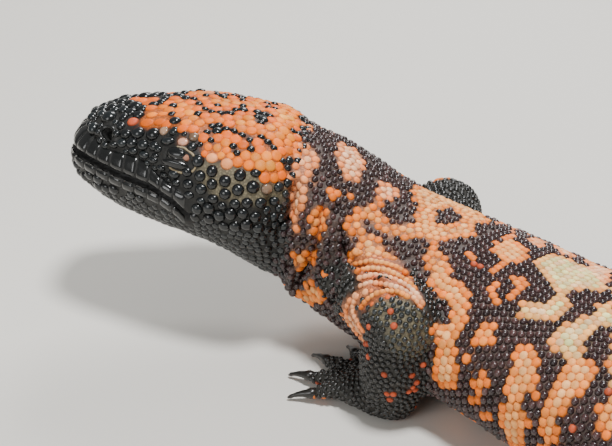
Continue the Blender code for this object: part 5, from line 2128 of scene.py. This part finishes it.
@dataclass(frozen=True)
class Eyes:
    """The eyes, nearly shut between two lids that carry long scales."""

    radius: float = 3.5
    ahead: float = 0.6
    lower: float = 0.4
    look_up: float = 0.22
    look_ahead: float = 0.10
    tilt: float = -4.0
    lid_gap: float = 0.22
    lid_wall: float = 0.4
    lid_back: float = 0.1
    slit_rise: float = -4.0
    slit_half: float = 6.0
    rim_steps: int = 40
    rim_radius: float = 0.32
    rim_out: float = 2.1
    rim_growth: tuple[float, float] = (1.12, 1.16)
    scale_sunk: float = 0.25
    scale_spacing: float = 2.3
    scale_rise: float = 0.9
    scale_share: float = 0.62

    # Each scale of a lid: its rise and its place round the eye, its size, its stretch and its shade
    scales: tuple[tuple[float, float, float, float, Shade], ...] = (
        (27.0, 83.0, 3.4, 1.35, Shade.LIP), (22.0, 44.0, 1.3, 1.2, Shade.LIP),
        (17.0, 137.0, 1.9, 1.2, Shade.ROSE), (-33.0, 90.0, 3.9, 1.7, Shade.LIP),
    )

    def centre(self, head: HeadFrame, word: str) -> Vector:
        """The middle of an eye."""
        low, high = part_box("eye_" + word)
        return (low + high) / 2 + (head.forward * self.ahead - head.up * self.lower) * MM

    def axes(self, head: HeadFrame, side: int) -> Matrix:
        """Find an eye's own axes.

        Args:
            head: The head's frame.
            side: One for the left, minus one for the right.

        Returns:
            The axes as columns: along the slit, out of the head, and up.
        """
        out = (head.left * side + head.up * self.look_up + head.forward * self.look_ahead).normalized()
        along = (head.forward - out * head.forward.dot(out)).normalized()
        up = (out.cross(along) * side).normalized()
        if up.dot(head.up) < 0:
            up.negate()
        turn = Matrix.Rotation(math.radians(self.tilt) * side, 3, out)
        return Matrix((turn @ along, out, turn @ up)).transposed().to_4x4()

    def lid(self, upper: bool) -> bmesh.types.BMesh:
        """Make one lid as part of a shell round the eye, its poles at the corners of the eye.

        Args:
            upper: Whether it is the upper lid.

        Returns:
            The lid's working mesh, round the middle of the eye.
        """
        reach = self.radius + self.lid_gap
        bm = bmesh.new()
        bmesh.ops.create_uvsphere(bm, u_segments=36, v_segments=18, radius=reach * MM)
        bmesh.ops.rotate(bm, verts=bm.verts, cent=(0, 0, 0), matrix=Matrix.Rotation(math.pi / 2, 3, "Y"))
        lean = math.radians(self.slit_rise + (self.slit_half if upper else -self.slit_half))
        normal = Vector((0, -math.sin(lean), math.cos(lean)))
        bmesh.ops.bisect_plane(
            bm, geom=bm.verts[:] + bm.edges[:] + bm.faces[:], plane_co=(0, 0, 0), plane_no=normal,
            clear_inner=upper, clear_outer=not upper,
        )
        behind = [v for v in bm.verts if v.co.y < -self.lid_back * self.radius * MM]
        bmesh.ops.delete(bm, geom=behind, context="VERTS")
        bmesh.ops.recalc_face_normals(bm, faces=bm.faces)
        top = max(bm.faces, key=lambda face: face.calc_center_median().y)
        if top.normal.y < 0:
            bmesh.ops.reverse_faces(bm, faces=bm.faces)
        inner = bmesh.ops.duplicate(bm, geom=bm.verts[:] + bm.edges[:] + bm.faces[:])["geom"]
        rim = [e for e in bm.edges if len(e.link_faces) == 1]
        shells = [f for f in inner if isinstance(f, bmesh.types.BMFace)]
        bmesh.ops.reverse_faces(bm, faces=shells)
        share = (reach - self.lid_wall) / reach
        bmesh.ops.scale(bm, verts=list({v for f in shells for v in f.verts}), vec=(share,) * 3)
        bmesh.ops.bridge_loops(bm, edges=rim)
        bmesh.ops.recalc_face_normals(bm, faces=bm.faces)
        return bm

    def build(self, head: HeadFrame) -> None:
        """Make both eyes and their four lids.

        Args:
            head: The head's frame.
        """
        wet = PlainFinish("wet_eye", (8, 7, 7), 0.08, 1.0).build()
        lid_skin = PlainFinish("lid_skin", (30, 31, 29), 0.34, 0.3, 0.3, 900.0).build()
        for side, word in SIDES:
            centre = self.centre(head, word)
            axes = self.axes(head, side)
            ball = bmesh.new()
            bmesh.ops.create_uvsphere(ball, u_segments=32, v_segments=16, radius=self.radius * MM)
            bmesh.ops.translate(ball, verts=ball.verts, vec=centre)
            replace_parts(add_piece("eyeball_" + word, ball, wet), "eye_" + word)
            for upper in (True, False):
                bm = self.lid(upper)
                bmesh.ops.transform(bm, matrix=axes, verts=bm.verts)
                bmesh.ops.translate(bm, verts=bm.verts, vec=centre)
                if axes.to_3x3().determinant() < 0:
                    bmesh.ops.reverse_faces(bm, faces=bm.faces)
                add_piece(f"lid_{'upper' if upper else 'lower'}_{word}", bm, lid_skin)
            log.info("eye and lids, %s", word)

    def lid_roots(self, head: HeadFrame, roots: Roots) -> None:
        """Add the long smooth scale of each lid, with its small neighbours at the corners.

        Args:
            head: The head's frame.
            roots: Where the beads' roots are kept.
        """
        reach = (self.radius + self.lid_gap - self.scale_sunk) * MM
        for side, word in SIDES:
            centre = self.centre(head, word)
            axes = self.axes(head, side).to_3x3()
            along = axes @ Vector((1, 0, 0))
            for rise, place, size, stretch, shade in self.scales:
                polar, lift = math.radians(place), math.radians(rise)
                high = Vector((0, math.cos(lift), math.sin(lift))) * math.sin(polar)
                out = (axes @ (high + Vector((math.cos(polar), 0, 0)))).normalized()
                roots.add(
                    centre + out * reach, out, along, self.scale_spacing, Region.HEAD, stretch, shade,
                    self.scale_rise, size * self.scale_share,
                )

    def rims(self, head: HeadFrame, skin: Skin) -> None:
        """Make the thin pale edge of skin round each pair of lids.

        Args:
            head: The head's frame.
            skin: The skin that it lies on.
        """
        pale = PlainFinish("lid_edge", (146, 130, 100), 0.5, 0.0, 0.4, 900.0).build()
        wide, tall = (size * growth for size, growth in zip(skin.EYE_OPENING, self.rim_growth))
        for side, word in SIDES:
            centre = self.centre(head, word)
            axes = self.axes(head, side).to_3x3()
            hits = []
            for k in range(self.rim_steps):
                turn = math.tau * k / self.rim_steps
                way = Vector((math.cos(turn) * wide, self.rim_out, math.sin(turn) * tall)).normalized()
                hits.append(skin.surface(centre, axes @ way))
            add_ring("lid_edge_" + word, [hit for hit in hits if hit], self.rim_radius, pale)


@dataclass(frozen=True)
class Lips:
    """The smooth plates along both lips, each laid over the skin, and the rims of the nostrils."""

    cells: int = 9
    upper_rise: float = 0.62
    lower_rise: float = 0.8
    sunk: float = 0.28
    plate_length: float = 4.3
    plate_along: tuple[float, float] = (0.015, 0.97)
    plate_across: tuple[float, float] = (0.02, 0.96)
    square_ends: int = 7
    round_edges: int = 3
    start: float = MOUTH_CORNER + 1.0
    pivot: float = 48.0
    snout_radius: float = 15.0
    middle: float = 36.0
    upper_depth: float = 3.0
    groove_gap: float = 0.25
    lower_depth: float = 3.4
    mouth_gap: float = 0.5
    nostril_steps: int = 16
    nostril_size: tuple[float, float] = (2.2, 1.75)
    nostril_rim: float = 0.5
    nostril_behind: float = 3.0
    nostril_out: float = 14.0
    nostril_up: float = 0.4
    nostril_sunk: float = 1.2

    def place(
        self, head: HeadFrame, skin: Skin, run: float, share: float, upper: bool, side: int,
    ) -> tuple[Vector, Vector] | None:
        """Find a place on the skin of a lip.

        Args:
            head: The head's frame.
            skin: The skin that is looked up.
            run: How far along from the corner of the mouth, in millimetres.
            share: From nought at the mouth to one at the outer edge of the lip.
            upper: Whether it is the upper lip.
            side: One for the left, minus one for the right.

        Returns:
            The place and the way out, or None where there is no skin.
        """
        straight = self.pivot - self.start
        angle = math.pi / 2 - max(0.0, run - straight) / self.snout_radius
        forward = min(self.start + run, self.pivot)
        reach = forward + self.snout_radius * math.cos(angle) * (run > straight)
        mouth = between(MOUTH_LINE, reach)
        if upper:
            top = max(between(LIP_GROOVE_LINE, reach) - self.groove_gap, mouth + self.upper_depth)
            height = mouth + self.mouth_gap + (top - mouth - self.mouth_gap) * share
        else:
            height = mouth - self.mouth_gap - self.lower_depth * share
        way = head.forward * math.cos(angle) + head.left * side * math.sin(angle)
        return skin.surface(head.place(forward, 0, height), way)

    def plate(self, bm: bmesh.types.BMesh, spots: list, rise: float) -> None:
        """Add one plate over a grid of places: swollen in the middle and sunk in the skin at its edge.

        Args:
            bm: The mesh that it goes into.
            spots: Rows of places on the skin, each with its way out.
            rise: How high the middle stands over the edge, in millimetres.
        """
        cells = self.cells
        rows = []
        for i, line in enumerate(spots):
            row = []
            for j, (point, normal) in enumerate(line):
                s, t = abs(2 * i / (cells - 1) - 1), abs(2 * j / (cells - 1) - 1)
                pillow = math.sqrt(max(0.0, (1 - s**self.square_ends) * (1 - t**self.round_edges)))
                row.append(bm.verts.new(point + normal * (rise * pillow - self.sunk) * MM))
            rows.append(row)
        for i in range(cells - 1):
            for j in range(cells - 1):
                bm.faces.new((rows[i][j], rows[i + 1][j], rows[i + 1][j + 1], rows[i][j + 1]))

    def spots(self, head: HeadFrame, skin: Skin, k: int, step: float, upper: bool, side: int) -> list:
        """Find the grid of places under one plate, past the middle of the snout too.

        Args:
            head: The head's frame.
            skin: The skin that the plate lies on.
            k: The plate's number from the corner of the mouth.
            step: How far apart plates stand, in millimetres.
            upper: Whether it is on the upper lip.
            side: One for the left, minus one for the right.

        Returns:
            Rows of places, each with its way out, or None where there is no skin.
        """
        found = []
        shares = [i / (self.cells - 1) for i in range(self.cells)]
        for along in shares:
            run = (k + self.plate_along[0] + self.plate_along[1] * along) * step
            hand = side
            if run > self.full:
                run, hand = 2 * self.full - run, -side
            across = [self.plate_across[0] + self.plate_across[1] * share for share in shares]
            found.append([self.place(head, skin, run, share, upper, hand) for share in across])
        return found

    @property
    def full(self) -> float:
        """How far it is along a lip from its corner to the middle of the snout."""
        return self.pivot - self.start + self.snout_radius * math.pi / 2

    def build(self, head: HeadFrame, skin: Skin) -> None:
        """Make the plates of both lips and the nostrils' rims.

        Args:
            head: The head's frame.
            skin: The skin that they lie on.
        """
        plate_skin = PlainFinish("lip_plates", (13, 15, 15), 0.2, 0.4, 0.5, 500.0).build()
        number = round(self.full / self.plate_length)
        step = self.full / (number + 0.5)
        for upper in (True, False):
            bm = bmesh.new()
            for side, _ in SIDES:
                for k in range(number + (side == 1)):
                    spots = self.spots(head, skin, k, step, upper, side)
                    if all(spot for line in spots for spot in line):
                        self.plate(bm, spots, self.upper_rise if upper else self.lower_rise)
            middle = head.place(self.middle, 0, 0)
            for face in bm.faces:
                face.normal_update()
                if face.normal.dot(face.calc_center_median() - middle) < 0:
                    face.normal_flip()
            add_piece("lip_plates_upper" if upper else "lip_plates_lower", bm, plate_skin)
        for side, word in SIDES:
            self.nostril(head, skin, side, word, plate_skin)
        log.info("lips and nostrils")

    def nostril(self, head: HeadFrame, skin: Skin, side: int, word: str, finish: bpy.types.Material) -> None:
        """Make the raised rim round one nostril.

        Args:
            head: The head's frame.
            skin: The skin that it lies on.
            side: One for the left, minus one for the right.
            word: The side's name.
            finish: Its material.
        """
        ahead, high = NOSTRIL_PLACE
        start = head.place(ahead - self.nostril_behind, 0, high)
        aim = head.place(ahead, self.nostril_out * side, high + self.nostril_up)
        out = (aim - start).normalized()
        along = (head.forward - out * head.forward.dot(out)).normalized()
        up = out.cross(along)
        wide, tall = self.nostril_size
        hits = []
        for i in range(self.nostril_steps):
            turn = math.tau * i / self.nostril_steps
            place = aim + (along * math.cos(turn) * wide + up * math.sin(turn) * tall) * MM
            hits.append(skin.tree.find_nearest(place - out * self.nostril_sunk * MM))
        add_ring("nostril_rim_" + word, hits, self.nostril_rim, finish)


@dataclass(frozen=True)
class Claws:
    """The claws, smooth and seated in the toes."""

    seat: float = 1.4
    root_from: float = 0.55
    tip_from: float = 0.8
    roundness: float = 0.6

    def build(self, frame: dict) -> None:
        """Copy each claw's solid, draw its root back into the toe and round it.

        Args:
            frame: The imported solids.
        """
        horn = PlainFinish("dark_horn", (26, 23, 20), 0.32, 0.2, 0.45, 700.0).build()
        for name in sorted(n for n in frame["nodes"] if n.startswith("claw")):
            bm = bmesh.new()
            bm.from_mesh(frame["nodes"][name].data)
            bmesh.ops.remove_doubles(bm, verts=bm.verts, dist=Skin.MERGE)
            points = np.array([v.co[:] for v in bm.verts])
            offset = points - points.mean(0)
            axis = np.linalg.svd(offset)[2][0]
            reach = offset @ axis
            wide = []
            for end in (reach > reach.max() * self.tip_from, reach < reach.min() * self.tip_from):
                wide.append(np.linalg.norm(points[end] - points[end].mean(0), axis=1).mean())
            root = axis if wide[0] > wide[1] else -axis
            along = offset @ root
            back = self.root_from * along.max()
            for vert, far in zip(bm.verts, along):
                share = max(0.0, (far - back) / (along.max() - back))
                vert.co += Vector(root) * self.seat * MM * share
            bmesh.ops.subdivide_edges(
                bm, edges=bm.edges[:], cuts=1, use_grid_fill=True, smooth=self.roundness,
            )
            thing = add_piece(name + "_horn", bm, horn)
            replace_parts(thing, name)
        log.info("claws")


@dataclass(frozen=True)
class Studio:
    """A pale floor with soft light from above."""

    floor_colour: Colour = (214, 211, 204)
    floor_size: float = 4.0
    air_colour: tuple[float, float, float, float] = (0.93, 0.92, 0.9, 1.0)
    air_strength: float = 0.34
    aim: tuple[float, float, float] = (-0.08, 0.05, 0.03)
    lights: tuple[tuple, ...] = (
        ("key", (0.02, -0.12, 0.85), 0.16, 10.0),
        ("fill", (-0.6, -0.6, 0.45), 0.5, 3.0),
        ("back", (0.1, 0.7, 0.6), 0.4, 6.0),
    )

    def area(self, name: str, place: tuple[float, float, float], size: float, power: float) -> None:
        """Add one soft light aimed at the animal.

        Args:
            name: The light's name.
            place: Where it hangs, in metres.
            size: How wide it is, in metres.
            power: Its power in watts.
        """
        data = bpy.data.lights.new(name, "AREA")
        data.shape, data.size, data.energy = "DISK", size, power
        light = linked(name, data)
        light.location = place
        light.rotation_euler = (Vector(self.aim) - Vector(place)).to_track_quat("-Z", "Y").to_euler()

    def build(self) -> None:
        """Make the floor, the lights and the air's own light."""
        bm = bmesh.new()
        bmesh.ops.create_grid(bm, x_segments=1, y_segments=1, size=self.floor_size)
        mesh = finished("floor", bm)
        mesh.materials.append(PlainFinish("pale_floor", self.floor_colour, 0.8, 0.0, 0.02, 6.0).build())
        floor = linked("floor", mesh)
        world = bpy.data.worlds.new("soft_air")
        world.use_nodes = True
        air = world.node_tree.nodes["Background"]
        air.inputs["Color"].default_value = self.air_colour
        air.inputs["Strength"].default_value = self.air_strength
        bpy.context.scene.world = world
        for light in self.lights:
            self.area(*light)
        log.info("floor and %d lights", len(self.lights))


def main() -> None:
    """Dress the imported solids."""
    logging.basicConfig(level=logging.INFO)
    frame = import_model()
    viewpoint = Viewpoint()
    viewpoint.build()
    spine = Spine()
    head = HeadFrame(spine)
    markings = Markings(spine, head, viewpoint)
    skin = Skin(frame, spine, head, markings)
    eyes = Eyes()
    skin.build(SkinFinish(), eyes)
    finishes = (BeadFinish("dark_beads", 0.2, 0.55), BeadFinish("light_beads", 0.5, 0.22))
    Coat(skin, spine, head, markings).build(finishes, eyes)
    eyes.build(head)
    eyes.rims(head, skin)
    Lips().build(head, skin)
    Claws().build(frame)
    Studio().build()


if __name__ == "__main__":
    main()
